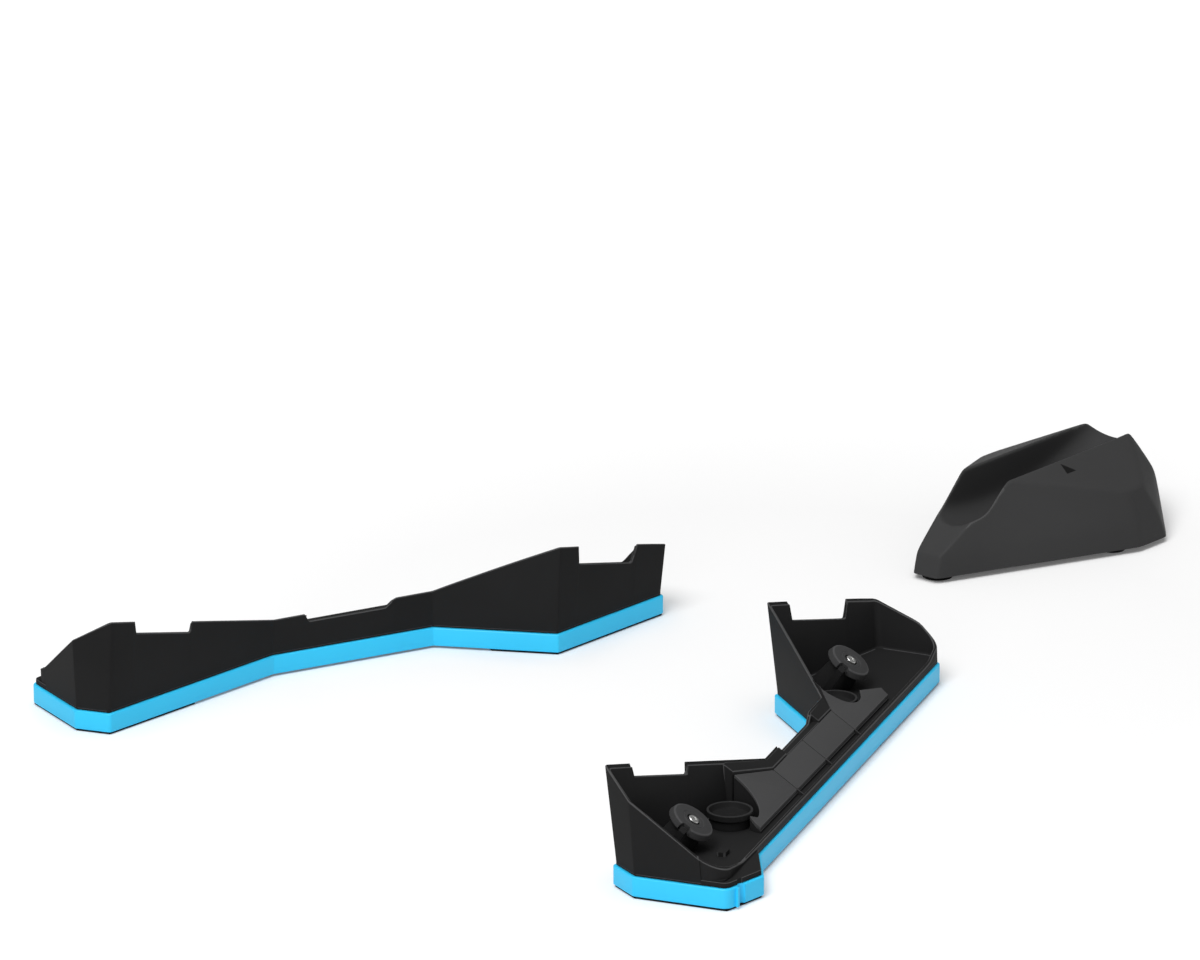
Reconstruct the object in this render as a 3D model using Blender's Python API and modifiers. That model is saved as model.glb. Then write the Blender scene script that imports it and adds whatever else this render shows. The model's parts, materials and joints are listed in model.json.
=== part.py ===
"""Trainer motion plates with a front wheel riser.

Two mirrored plates stand splayed under the legs of a bicycle trainer. A black tray glides fore and
aft on rollers in a blue base, so the trainer moves with its rider. The riser holds the front wheel.
Metres, +X forward along the bicycle, +Y to its left, +Z up, floor at Z = 0.
"""
from math import atan, cos, pi, radians, sin

import bmesh
import bpy
from mathutils import Matrix, Vector

MM = 0.001
GAP = 0.3 * MM                      # seat clearance between two pieces
SEGMENTS = 32                       # sides of a large round piece

# The set on the floor. X is counted from the middle of the whole set.
PLATE_SPLAY = radians(20.6)         # each plate's outer edge to the bicycle's line
PLATE_X = -399.32 * MM               # plate origin, on its outer edge
PLATE_Y = -343.3 * MM
TRAVEL = 25.0 * MM                  # tray glide, each way

# Plan of a base in the plate's own frame: along the outer edge, and inward from it, in millimetres.
# Rear outer, rear inner and waist corners, then the front ones, then the proud outer rear corner.
PLATE_PLAN = [(-107.1, -0.5), (-104.1, 79.6), (-83.0, 104.0), (102.5, 39.0), (256.2, 40.6),
              (341.2, 110.5), (473.8, 62.5), (467.8, 1.8)]
REAR_CORNER = [(-24.0, 0.0), (-67.0, -17.2)]
BASE_RADII = [9, 4, 4, 3, 3, 3, 5, 9, 3, 4]
TRAY_RADII = [16, 3, 3, 2, 2, 2, 4, 7]
CORNER_NOTCH = (-92.2, -7.8)        # upright groove in the rear outer edge
CORNER_NOTCH_RADIUS = 4.5 * MM

# Heights from the floor up
SOLE_THICK = 2.0 * MM
BASE_HEIGHT = 16.4 * MM
BASE_WALL = 3.0 * MM
BASE_RIBS = (-28.0, 75.0, 116.0, 158.0, 200.0, 241.0, 352.0, 430.0)
RIB_THICK = 2.5 * MM
REAR_SOLE_END = 13.0 * MM
FRONT_SOLE_START = 297.0 * MM
SOLE_INSET = 2.0 * MM

# Rollers and what holds them
ROLLER_RADIUS = 7.0 * MM
ROLLER_WIDTH = 12.0 * MM
AXLE_RADIUS = 2.0 * MM
CHEEK_THICK = 4.0 * MM
BOX_BELOW_AXLE = 5.3 * MM           # how far the moulded roller box hangs under the axle's centre
SIDE_PLAY = 0.4 * MM
ROLLER_SPOTS = {"rear_outer": (-62.0, 26.0), "rear_inner": (-50.0, 74.0),
                "front_inner": (378.0, 78.0), "front_outer": (400.0, 30.0)}
RUNNER_WIDTH = 14.0 * MM

# Guide pins under the two cups
GUIDE_SPOTS = {"rear": (17.0, 40.0), "front": (306.0, 32.0)}
PIN_RADIUS = 4.0 * MM
SPIGOT_RADIUS = 3.0 * MM
PIN_HEAD_RADIUS = 10.0 * MM
PIN_HEAD_THICK = 2.0 * MM
PIN_HEAD_PLAY = 0.5 * MM
LINER_END = 4.0 * MM                # rubber that stops the pin at each end of its slot
LINER_SIDE = 2.0 * MM
LINER_LIP = 2.4 * MM
LINER_LIP_THICK = 0.9 * MM

# Tray
TRAY_RIDE = 1.6 * MM                # open gap between the base's deck and the tray's skirt
TRAY_INSET = 2.2 * MM
TRAY_WALL = 3.0 * MM
TRAY_FLOOR = 2.5 * MM
TRAY_SKIRT = 2.0 * MM
CORNER_FLANGE = 3.0 * MM            # thickness of the low shelf in the proud outer corner
RIM_WIDTH = 3.6 * MM
WALL_DRAFTS = [0.06, 0.07, 0.09, 0.09, 0.09, 0.09, 0.06, -0.25]
BLOCK_TOP = 112.0 * MM
BED_SLOPE = 0.695                   # rise of the bed per unit inward, as the trainer's leg
BED_EDGE = 4.0 * MM                 # where the bed plane starts, inward from the plate's edge
BED_START = 5.0 * MM                # height of the bed plane there, above the tray's skirt
BORDER_RISE = 1.5 * MM              # the walls and the bed's border stand this much over the bed
PANEL_THICK = 2.5 * MM
PANEL_INNER = 31.0
PANEL_OUTER = 10.7
PANEL_JOINTS = (100.0, 175.0, 251.0)
JOINT_WIDTH = 1.2
REAR_BAY = (16.0, 50.0, 33.5)       # round bay in the rear end of the bed: centre and radius
FRONT_BAY = (299.0, 50.0, 28.0)
REAR_TIP = (48.6, 48.0)
FRONT_TIP = (271.9, 46.4)
REAR_NOTCH = [(-56.8, 130.0), (-55.6, 82.4), (7.1, 65.3), (11.0, 130.0)]
FRONT_NOTCH = [(364.0, 130.0), (367.3, 75.3), (432.9, 58.7), (440.5, 130.0)]
WAIST_SLOT = [(131.0, 70.0), (133.3, 48.5), (138.5, 42.8), (209.2, 42.8), (217.0, 48.5), (221.5, 70.0)]
SLOT_DEPTH_FROM = 31.6
REAR_NUB = (-48.0, 23.6)

# Cups, adjuster discs and their posts
CUP_SPOTS = {"rear": (17.0, 40.0), "front": (299.0, 43.0)}
CUP_RADIUS = 18.7 * MM
CUP_HEIGHT = 13.2 * MM
CUP_RIM = 2.0 * MM
CUP_DEPTH = 5.0 * MM
CUP_FOOT_RADIUS = 16.6 * MM
CUP_STEP = 6.4 * MM
DISC_SPOTS = {"rear": (-45.0, 49.0), "front": (361.0, 49.0)}
DISC_TOP = 50.0 * MM
DISC_RADIUS = 19.8 * MM
DISC_THICK = 6.0 * MM
DISC_NOTCH_WIDTH = 7.0 * MM
DISC_NOTCH_DEPTH = 3.6 * MM
POST_RADIUS = 13.0 * MM
POST_LENGTH = 45.0 * MM
BOLT_HEAD_RADIUS = 4.5 * MM
BOLT_HEAD_THICK = 2.6 * MM
BOLT_RADIUS = 3.0 * MM
BOLT_LENGTH = 16.0 * MM
LUG_WIDTH = 5.6 * MM                # lug that fits the disc's notch, measured from the disc's edge
LUG_BACK = 8.0 * MM
LUG_FRONT = 4.0 * MM
LUG_TIP = -0.5 * MM

# Riser, symmetric about the bicycle's line. X from the set's middle, half width, height, in mm.
RISER_X = 241.08
RISER_HULL = [(0.0, 12.0, 5.0), (3.0, 15.1, 5.0), (5.7, 14.2, 24.3), (188.3, 99.5, 5.0),
              (228.3, 99.5, 5.0), (188.3, 96.0, 25.0), (221.3, 96.5, 25.0), (280.0, 57.0, 5.0),
              (285.3, 28.0, 5.0), (181.3, 90.0, 57.0), (205.3, 89.0, 57.0), (265.3, 60.0, 51.0),
              (87.6, 26.3, 77.9), (271.2, 23.1, 79.3), (285.3, 25.0, 62.0)]
RISER_WALL = 3.0 * MM
WHEEL_RADIUS = 340.0 * MM
CHANNEL_LOW_X = 125.9
CHANNEL_LOW_Z = 31.6
CHANNEL_HALF_WIDTH = 23.0
CHANNEL_ROUND = 26.0
RISER_RIBS = (70.0, 150.0, 225.0)
FOOT_SPOTS = [(19.0, 0.0, 14.0), (180.0, 74.0, 12.0), (180.0, -74.0, 12.0)]

# Derived heights
BASE_BOTTOM = SOLE_THICK
BASE_TOP = BASE_BOTTOM + BASE_HEIGHT
DECK_BOTTOM = BASE_TOP - BASE_WALL
SKIRT_BOTTOM = BASE_TOP + TRAY_RIDE
FLOOR_BOTTOM = SKIRT_BOTTOM + TRAY_SKIRT
FLOOR_TOP = FLOOR_BOTTOM + TRAY_FLOOR
AXLE_HEIGHT = SKIRT_BOTTOM - GAP - ROLLER_RADIUS
BED_HEIGHT = SKIRT_BOTTOM + BED_START
BED_ANGLE = atan(BED_SLOPE)
PLAY_HALF = TRAVEL + PIN_RADIUS + GAP
RUNNER_LENGTH = 2 * (TRAVEL + ROLLER_RADIUS + 1.0 * MM)

COLOURS = {"blue": ((0.03, 0.42, 0.95, 1), 0.45, 0.0), "black": ((0.016, 0.016, 0.017, 1), 0.5, 0.0),
           "grey": ((0.07, 0.07, 0.07, 1), 0.7, 0.0), "rubber": ((0.01, 0.01, 0.01, 1), 0.9, 0.0),
           "steel": ((0.6, 0.6, 0.6, 1), 0.3, 1.0), "white": ((0.75, 0.75, 0.73, 1), 0.5, 0.0),
           "charcoal": ((0.04, 0.04, 0.042, 1), 0.6, 0.0)}


def clear_scene():
    for thing in list(bpy.data.objects):
        bpy.data.objects.remove(thing, do_unlink=True)


def new_collection(name):
    group = bpy.data.collections.new(name)
    bpy.context.scene.collection.children.link(group)
    return group


def material(name):
    """The Principled material of that name, made at its first use."""
    if name not in bpy.data.materials:
        colour, roughness, metallic = COLOURS[name]
        made = bpy.data.materials.new(name)
        made.use_nodes = True
        shader = made.node_tree.nodes["Principled BSDF"]
        shader.inputs["Base Color"].default_value = colour
        shader.inputs["Roughness"].default_value = roughness
        shader.inputs["Metallic"].default_value = metallic
    return bpy.data.materials[name]


def own_material(piece, name):
    """A copy of the named material for this piece alone."""
    finish = material(name).copy()
    finish.name = piece.name
    piece.data.materials.append(finish)


def offset_outline(points, distances):
    """Move each edge of a clockwise outline inward by its own distance and join the edges again."""
    count = len(points)
    lines = []
    for i in range(count):
        start = Vector(points[i])
        along = (Vector(points[(i + 1) % count]) - start).normalized()
        inward = Vector((along.y, -along.x))
        lines.append((start + inward * distances[i], along))
    moved = []
    for i in range(count):
        (p, d), (q, e) = lines[i - 1], lines[i]
        cross = d.x * e.y - d.y * e.x
        t = ((q.x - p.x) * e.y - (q.y - p.y) * e.x) / cross
        moved.append((p.x + d.x * t, p.y + d.y * t))
    return moved


def fillet(points, radii, steps=4):
    """Round each corner of an outline with an arc, given as points at even angles."""
    rounded = []
    count = len(points)
    for i in range(count):
        corner = Vector(points[i])
        before = (Vector(points[i - 1]) - corner).normalized()
        after = (Vector(points[(i + 1) % count]) - corner).normalized()
        half = before.angle(after) / 2
        reach = radii[i] / max(0.05, sin(half) / cos(half))
        centre = corner + (before + after).normalized() * (radii[i] / sin(half))
        first = corner + before * reach - centre
        last = corner + after * reach - centre
        turn = first.angle_signed(last)
        for k in range(steps + 1):
            spoke = first.copy()
            spoke.rotate(Matrix.Rotation(-turn * k / steps, 2))
            rounded.append(tuple(centre + spoke))
    return rounded


def scaled(points):
    return [(x * MM, y * MM) for x, y in points]


def place(piece, parent=None, location=(0, 0, 0), rotation=(0, 0, 0), finish=None):
    """Put a piece in the model under its parent, or among the cutters when it has no finish."""
    if finish:
        MODEL.objects.link(piece)
        own_material(piece, finish)
    else:
        CUTTERS.objects.link(piece)
        piece.hide_render = True
        piece.display_type = "WIRE"
    piece.parent = parent
    piece.location = location
    piece.rotation_euler = rotation
    return piece


def from_bmesh(name, shape):
    bmesh.ops.recalc_face_normals(shape, faces=shape.faces)
    mesh = bpy.data.meshes.new(name)
    shape.to_mesh(mesh)
    shape.free()
    return bpy.data.objects.new(name, mesh)


def loft(name, loops):
    """A closed solid through loops of equally many points, capped at both ends."""
    shape = bmesh.new()
    rings = [[shape.verts.new(point) for point in loop] for loop in loops]
    count = len(rings[0])
    shape.faces.new(reversed(rings[0]))
    shape.faces.new(rings[-1])
    for lower, upper in zip(rings, rings[1:]):
        for i in range(count):
            j = (i + 1) % count
            shape.faces.new((lower[i], lower[j], upper[j], upper[i]))
    return from_bmesh(name, shape)


def prism(name, outline, low, high):
    """An upright prism over a plan outline."""
    return loft(name, [[(x, y, z) for x, y in outline] for z in (low, high)])


def plank(name, profile, near, far):
    """A profile of points along and up, carried inward from near to far."""
    return loft(name, [[(x, y, z) for x, z in profile] for y in (near, far)])


def block(name, size):
    shape = bmesh.new()
    bmesh.ops.create_cube(shape, size=1.0)
    bmesh.ops.scale(shape, vec=size, verts=shape.verts)
    return from_bmesh(name, shape)


def cylinder(name, radius, depth, sides=SEGMENTS, top_radius=None):
    shape = bmesh.new()
    upper = radius if top_radius is None else top_radius
    bmesh.ops.create_cone(shape, cap_ends=True, segments=sides, radius1=radius, radius2=upper,
                          depth=depth)
    return from_bmesh(name, shape)


def turned(name, profile, sides=SEGMENTS):
    """A profile of radius and height that a Screw modifier turns about Z; it runs down its outer side."""
    points = profile[::-1]
    count = len(points)
    edges = [(k, (k + 1) % count) for k in range(count)]
    if points[0][0] == 0 and points[-1][0] == 0:
        edges.pop()
    mesh = bpy.data.meshes.new(name)
    mesh.from_pydata([(radius, 0, height) for radius, height in points], edges, [])
    piece = bpy.data.objects.new(name, mesh)
    turn = piece.modifiers.new("turn", "SCREW")
    turn.angle = 2 * pi
    turn.steps = sides
    turn.render_steps = sides
    turn.use_merge_vertices = True
    turn.merge_threshold = 1e-5
    turn.use_smooth_shade = False
    return piece


def combine(piece, other, operation="DIFFERENCE"):
    step = piece.modifiers.new(other.name, "BOOLEAN")
    step.object = other
    step.operation = operation
    step.solver = "EXACT"


def evaluated_mesh(piece):
    graph = bpy.context.evaluated_depsgraph_get()
    graph.update()
    return bpy.data.meshes.new_from_object(piece.evaluated_get(graph))


def empty(name, location, turn=0.0, parent=None):
    frame = bpy.data.objects.new(name, None)
    MODEL.objects.link(frame)
    frame.location = location
    frame.rotation_euler = (0, 0, turn)
    frame.parent = parent
    return frame


def glide_block(name, size, spot, height, plate):
    """A cutter block whose length lies along the bicycle, centred over a spot of the plate."""
    return place(block(name, size), plate, (spot[0] * MM, spot[1] * MM, height), (0, 0, -PLATE_SPLAY))


def bed_height(inward):
    return BED_HEIGHT + BED_SLOPE * (inward * MM - BED_EDGE)


def full_plan(inset):
    plan = PLATE_PLAN + REAR_CORNER
    return offset_outline(plan, [inset / MM] * len(plan))


def base(plate):
    """Blue moulding, open below: deck, side wall, cross ribs and a box round each roller."""
    body = place(prism("right_base", scaled(fillet(full_plan(0.0), BASE_RADII)), BASE_BOTTOM, BASE_TOP),
                 plate, finish="blue")
    hollow = place(prism("base_hollow", scaled(full_plan(BASE_WALL)), 0.0, DECK_BOTTOM), plate)
    for along in BASE_RIBS:
        rib = place(block("base_rib", (RIB_THICK, 0.4, 0.1)), plate, (along * MM, 0, 0))
        combine(hollow, rib)
    half_width = ROLLER_WIDTH / 2 + SIDE_PLAY
    half_length = ROLLER_RADIUS + SIDE_PLAY
    box_low = AXLE_HEIGHT - BOX_BELOW_AXLE
    box_high = BASE_TOP
    for spot in ROLLER_SPOTS.values():
        size = (2 * (half_length + CHEEK_THICK), 2 * (half_width + CHEEK_THICK), box_high - box_low)
        combine(hollow, glide_block("roller_box", size, spot, (box_low + box_high) / 2, plate))
    combine(body, hollow)
    combine(body, corner_notch(plate))
    for spot in ROLLER_SPOTS.values():
        size = (2 * half_length, 2 * half_width, 2 * BASE_TOP)
        combine(body, glide_block("roller_window", size, spot, BASE_TOP, plate))
        bore = cylinder("axle_bore", AXLE_RADIUS + GAP, 2 * (half_width + CHEEK_THICK) + 2 * MM, 16)
        place(bore, plate, (spot[0] * MM, spot[1] * MM, AXLE_HEIGHT), (pi / 2, 0, -PLATE_SPLAY))
        combine(body, bore)
    for spot in GUIDE_SPOTS.values():
        slot = prism("guide_slot", slot_outline(LINER_END + GAP, LINER_SIDE + GAP), 0.0, 2 * BASE_TOP)
        combine(body, on_guide(slot, plate, spot))
    return body


def slot_outline(more_length, more_width):
    """Round-ended outline of the room that a guide pin needs, grown at its ends and its sides."""
    long = PLAY_HALF + more_length
    wide = PIN_RADIUS + GAP + more_width
    corners = [(-long, -wide), (-long, wide), (long, wide), (long, -wide)]
    return fillet(corners, [wide * 0.8] * 4, 4)


def on_guide(piece, plate, spot, finish=None):
    return place(piece, plate, (spot[0] * MM, spot[1] * MM, 0), (0, 0, -PLATE_SPLAY), finish)


def corner_notch(plate):
    """The upright notch that base and tray share in the rear outer edge."""
    notch = cylinder("corner_notch", CORNER_NOTCH_RADIUS, 0.1, 12)
    return place(notch, plate, (CORNER_NOTCH[0] * MM, CORNER_NOTCH[1] * MM, 0))


def sole(end, keep_from, keep_to, plate):
    """Rubber sheet under one end of the base."""
    pad = place(prism(f"right_{end}_sole", scaled(full_plan(SOLE_INSET)), 0.0, SOLE_THICK - GAP),
                plate, finish="rubber")
    keep = block("sole_keep", (keep_to - keep_from, 0.4, 0.1))
    combine(pad, place(keep, plate, ((keep_from + keep_to) / 2, 0, 0)), "INTERSECT")
    return pad


def axle(name, spot, plate):
    """Steel pin through the two cheeks of a roller box."""
    length = ROLLER_WIDTH + 2 * (SIDE_PLAY + CHEEK_THICK) - 2 * GAP
    return place(cylinder(name, AXLE_RADIUS, length, 16), plate,
                 (spot[0] * MM, spot[1] * MM, AXLE_HEIGHT), (pi / 2, 0, -PLATE_SPLAY), "steel")


def roller(name, spot, plate):
    """A hard roller with chamfered edges and a bore, its origin on its axle."""
    half, bore, chamfer = ROLLER_WIDTH / 2, AXLE_RADIUS + GAP, 0.8 * MM
    profile = [(bore, -half), (ROLLER_RADIUS - chamfer, -half), (ROLLER_RADIUS, chamfer - half),
               (ROLLER_RADIUS, half - chamfer), (ROLLER_RADIUS - chamfer, half), (bore, half)]
    return place(turned(name, profile, 24), plate, (spot[0] * MM, spot[1] * MM, AXLE_HEIGHT),
                 (pi / 2, 0, -PLATE_SPLAY), "white")


def slot_liner(end, spot, plate):
    """Rubber ring in a guide slot, thick at the ends to stop the pin, with a lip over the deck."""
    lip_low = BASE_TOP + GAP
    ring = prism(f"right_{end}_slot_liner", slot_outline(LINER_END, LINER_SIDE), DECK_BOTTOM,
                 lip_low + LINER_LIP_THICK)
    on_guide(ring, plate, spot, "rubber")
    lip_outline = slot_outline(LINER_END + LINER_LIP, LINER_SIDE + LINER_LIP)
    lip = prism("liner_lip", lip_outline, lip_low, lip_low + LINER_LIP_THICK)
    combine(ring, on_guide(lip, plate, spot), "UNION")
    combine(ring, on_guide(prism("liner_room", slot_outline(0.0, 0.0), 0.0, 0.1), plate, spot))
    return ring


def guide_pin(end, spot, plate):
    """Turned pin, pushed up through the slot: wide head, shank, and spigot fixed in the tray's floor."""
    head_top = DECK_BOTTOM - PIN_HEAD_PLAY
    shoulder = FLOOR_BOTTOM - GAP
    profile = [(0, head_top - PIN_HEAD_THICK), (PIN_HEAD_RADIUS, head_top - PIN_HEAD_THICK),
               (PIN_HEAD_RADIUS, head_top), (PIN_RADIUS, head_top), (PIN_RADIUS, shoulder),
               (SPIGOT_RADIUS, shoulder), (SPIGOT_RADIUS, FLOOR_TOP - GAP), (0, FLOOR_TOP - GAP)]
    return place(turned(f"right_{end}_guide_pin", profile, 24), plate,
                 (spot[0] * MM, spot[1] * MM, 0), finish="steel")


def wall_loops(extra, radii, low):
    """The tray's wall outline at its foot and at the block's top, leaning by each wall's draft."""
    loops = []
    for height in (low, BLOCK_TOP):
        rise = height - SKIRT_BOTTOM
        insets = [(TRAY_INSET + more - draft * rise) / MM for more, draft in zip(extra, WALL_DRAFTS)]
        outline = scaled(fillet(offset_outline(PLATE_PLAN, insets), radii))
        loops.append([(x, y, height) for x, y in outline])
    return loops


def top_envelope(plate):
    """All that is cut away above the wall tops, which follow the bed and lift at the front wall."""
    inward = [-30.0, 0.0, 4.0, 21.5, 29.0, 65.0, 130.0]
    bed = [SKIRT_BOTTOM / MM + rise for rise in (2.2, 4.4)]
    bed += [(bed_height(b) + BORDER_RISE) / MM for b in inward[2:]]
    rear = bed[:1] + [SKIRT_BOTTOM / MM + rise for rise in (8.0, 9.3)] + bed[3:]
    shoulder = bed[:5] + [SKIRT_BOTTOM / MM + rise for rise in (45.2, 88.2)]
    front = bed[:3] + [SKIRT_BOTTOM / MM + rise for rise in (24.5, 29.5, 44.9, 88.2)]
    ceiling = 140.0
    stations = [(-160.0, rear), (-92.0, rear), (-60.0, bed), (253.6, bed), (342.0, shoulder), (440.0, shoulder), (476.0, front),
                (520.0, front)]
    loops = []
    for along, heights in stations:
        edge = [(along * MM, b * MM, z * MM) for b, z in zip(inward, heights)]
        lid = [(along * MM, b * MM, ceiling * MM) for b in (inward[-1], inward[0])]
        loops.append(edge + lid)
    return place(loft("top_envelope", loops), plate)


def arc_points(bay, start, end, steps):
    cx, cy, radius = bay
    angles = [radians(start + (end - start) * k / steps) for k in range(steps + 1)]
    return [(cx + radius * cos(a), cy + radius * sin(a)) for a in angles]


def bed_outline():
    """Plan of the bed with its two round bays; inward it runs on past the walls."""
    rear = arc_points(REAR_BAY, -4, -88, 10)
    front = arc_points(FRONT_BAY, 306, 172, 12)
    outer = PANEL_OUTER - 0.5
    rear_end = [(10.3, 20.7), (6.9, 15.2), (6.2, outer)]
    front_end = [(343.0, outer), (345.0, 17.4)]
    beyond = [(258.0, 66.0), (230.0, 95.0), (100.0, 95.0), (56.0, 85.0), (52.0, 60.0)]
    return rear + rear_end + front_end + front + beyond


def tray(plate):
    """Black deep-drawn tray: leaning walls, floor, sloping bed with bays, notches and slot."""
    rim_extra = [0.0] * 8
    body = place(loft("right_tray", wall_loops(rim_extra, TRAY_RADII, SKIRT_BOTTOM)), plate,
                 finish="black")
    flange = prism("tray_flange", scaled(fillet(full_plan(TRAY_INSET), BASE_RADII)), SKIRT_BOTTOM,
                   SKIRT_BOTTOM + CORNER_FLANGE)
    combine(body, place(flange, plate), "UNION")
    combine(body, top_envelope(plate))
    inner = [TRAY_WALL] * 7 + [RIM_WIDTH]
    inside = place(loft("tray_inside", wall_loops(inner, [r + 1 for r in TRAY_RADII], FLOOR_TOP)), plate)
    combine(inside, place(prism("bed_keep", scaled(bed_outline()), 0.0, 2 * BLOCK_TOP), plate))
    for along in PANEL_JOINTS:
        rib = place(block("gutter_rib", (1.5 * MM, 20 * MM, 0.4)), plate, (along * MM, 4 * MM, 0))
        combine(inside, rib)
    combine(body, inside)
    combine(body, panel_recess(plate))
    for name, profile in (("rear_notch", REAR_NOTCH), ("front_notch", FRONT_NOTCH)):
        cut = plank(name, scaled(fillet(profile, [1, 2, 2, 1])), 55 * MM, 135 * MM)
        combine(body, place(cut, plate))
    slot = plank("waist_slot", scaled(WAIST_SLOT), SLOT_DEPTH_FROM * MM, 70 * MM)
    combine(body, place(slot, plate))
    combine(body, corner_notch(plate))
    under_plan = offset_outline(PLATE_PLAN, [(TRAY_INSET + TRAY_WALL) / MM] * 8)
    under = place(prism("tray_under", scaled(under_plan), 0.0, FLOOR_BOTTOM), plate)
    for spot in ROLLER_SPOTS.values():
        size = (RUNNER_LENGTH, RUNNER_WIDTH, 2 * TRAY_SKIRT)
        combine(under, glide_block("runner", size, spot, FLOOR_BOTTOM, plate))
    combine(body, under)
    for start, end in ((55, 97), (103, 172), (178, 248)):
        low, high = 15.0, 33.0
        section = [(low, 0.0), (low, bed_height(low) / MM - 7), (high, bed_height(high) / MM - 7), (high, 0.0)]
        hollow = loft("bed_hollow", [[(a * MM, b * MM, z * MM) for b, z in section] for a in (start, end)])
        combine(body, place(hollow, plate))
    for spot in GUIDE_SPOTS.values():
        hole = cylinder("spigot_hole", SPIGOT_RADIUS + GAP, 0.1, 24)
        combine(body, place(hole, plate, (spot[0] * MM, spot[1] * MM, 0)))
    nub = block("nub", (10 * MM, 5 * MM, 8 * MM))
    combine(body, place(nub, plate, (REAR_NUB[0] * MM, REAR_NUB[1] * MM, FLOOR_TOP + 3 * MM)), "UNION")
    for spot in DISC_SPOTS.values():
        add_disc_post(body, spot, plate)
    return body


def add_disc_post(body, spot, plate):
    """Leaning post under an adjuster disc, and the lug beside it that fits the disc's notch."""
    where = (spot[0] * MM, spot[1] * MM, DISC_TOP)
    lean = (BED_ANGLE, 0, 0)
    ground = place(block("post_ground", (0.2, 0.2, 0.1)), plate, where[:2] + (FLOOR_TOP - 0.051,))
    post = cylinder("disc_post", POST_RADIUS + 3 * MM, POST_LENGTH, 24, POST_RADIUS)
    post.data.transform(Matrix.Translation((0, 0, -DISC_THICK - GAP - POST_LENGTH / 2)))
    place(post, plate, where, lean)
    profile = [(-LUG_BACK, -POST_LENGTH), (-LUG_FRONT, -POST_LENGTH), (-LUG_FRONT, -4 * MM),
               (LUG_TIP, -4 * MM), (LUG_TIP, -1 * MM), (1 * MM - LUG_FRONT, 0.5 * MM),
               (-LUG_BACK, -1.5 * MM)]
    lug = plank("index_lug", [(x - DISC_RADIUS, z) for x, z in profile], -LUG_WIDTH / 2, LUG_WIDTH / 2)
    place(lug, plate, where, lean)
    for solid in (post, lug):
        combine(solid, ground)
        combine(body, solid, "UNION")
    bore = cylinder("bolt_bore", BOLT_RADIUS + GAP, 2 * (BOLT_LENGTH + GAP), 16)
    combine(body, place(bore, plate, where, lean))


def on_bed(points):
    """Plan points carried onto the sloping bed plane's own two directions."""
    return [(a * MM, (b * MM - BED_EDGE) / cos(BED_ANGLE)) for a, b in points]


def bed_slab(name, outline, low, high):
    return loft(name, [[(x, y, z) for x, y in on_bed(outline)] for z in (low, high)])


def panel_recess(plate):
    """The seat of the pad panels, cut into the bed and open to the bays and the gutter."""
    clear = GAP / MM
    inner = PANEL_INNER + clear
    outline = [(-5, 7.6), (352, 7.6), (352, 30), (300, 56), (FRONT_TIP[0] - 0.9, FRONT_TIP[1] + 1.8),
               (PANEL_JOINTS[2] - clear, inner), (PANEL_JOINTS[0], inner),
               (REAR_TIP[0] - 1.6, REAR_TIP[1] + 0.9), (20, 58), (-5, 36)]
    slab = bed_slab("panel_recess", outline, -PANEL_THICK - GAP, 30 * MM)
    return place(slab, plate, (0, BED_EDGE, BED_HEIGHT), (BED_ANGLE, 0, 0))


def panels(plate):
    """Four grey pad panels side by side on the bed, with narrow joints between them."""
    half = JOINT_WIDTH / 2
    first, second, third = PANEL_JOINTS
    rear = arc_points(REAR_BAY, -5, -88, 10)
    front = arc_points(FRONT_BAY, 304, 187, 12)
    outlines = [rear + [(10.3, 20.7), (6.9, 15.2), (6.8, PANEL_OUTER), (first - half, PANEL_OUTER),
                        (first - half, PANEL_INNER)],
                [(first + half, PANEL_OUTER), (second - half, PANEL_OUTER),
                 (second - half, PANEL_INNER), (first + half, PANEL_INNER)],
                [(second + half, PANEL_OUTER), (third - half, PANEL_OUTER),
                 (third - half, PANEL_INNER), (second + half, PANEL_INNER)],
                [(third + half, PANEL_INNER), (third + half, PANEL_OUTER), (342.2, PANEL_OUTER),
                 (344.3, 17.4)] + front]
    made = []
    for number, outline in enumerate(outlines, 1):
        pad = bed_slab(f"right_panel_{number}", outline, -PANEL_THICK, 0.0)
        place(pad, plate, (0, BED_EDGE, BED_HEIGHT), (BED_ANGLE, 0, 0), "grey")
        made.append(pad)
    return made


def cup(end, spot, plate):
    """Round stepped boss with a shallow dish, over the guide pin."""
    low = FLOOR_TOP + GAP
    step, top, dish = low + CUP_STEP, low + CUP_HEIGHT, low + CUP_HEIGHT - CUP_DEPTH
    inner = CUP_RADIUS - CUP_RIM
    profile = [(0, low), (CUP_FOOT_RADIUS, low), (CUP_FOOT_RADIUS, step), (CUP_RADIUS, step + CUP_RIM),
               (CUP_RADIUS, top), (inner, top), (inner - CUP_RIM, dish), (0, dish)]
    return place(turned(f"right_{end}_cup", profile), plate, (spot[0] * MM, spot[1] * MM, 0),
                 finish="black")


def disc(end, spot, plate):
    """Adjuster disc on the bed's slope, its origin on the axis that it turns about."""
    bore, seat = BOLT_RADIUS + GAP, BOLT_HEAD_RADIUS + GAP
    profile = [(bore, -DISC_THICK), (DISC_RADIUS * 0.88, -DISC_THICK), (DISC_RADIUS, -DISC_THICK * 0.55),
               (DISC_RADIUS, -DISC_THICK * 0.3), (DISC_RADIUS * 0.93, 0), (seat, 0),
               (seat, -BOLT_HEAD_THICK), (bore, -BOLT_HEAD_THICK)]
    where = (spot[0] * MM, spot[1] * MM, DISC_TOP)
    body = place(turned(f"right_{end}_disc", profile), plate, where, (BED_ANGLE, 0, 0), "grey")
    cut = block("disc_notch", (2 * DISC_NOTCH_DEPTH, DISC_NOTCH_WIDTH, 4 * DISC_THICK))
    combine(body, place(cut, body, (-DISC_RADIUS, 0, 0)))
    return body


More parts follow.
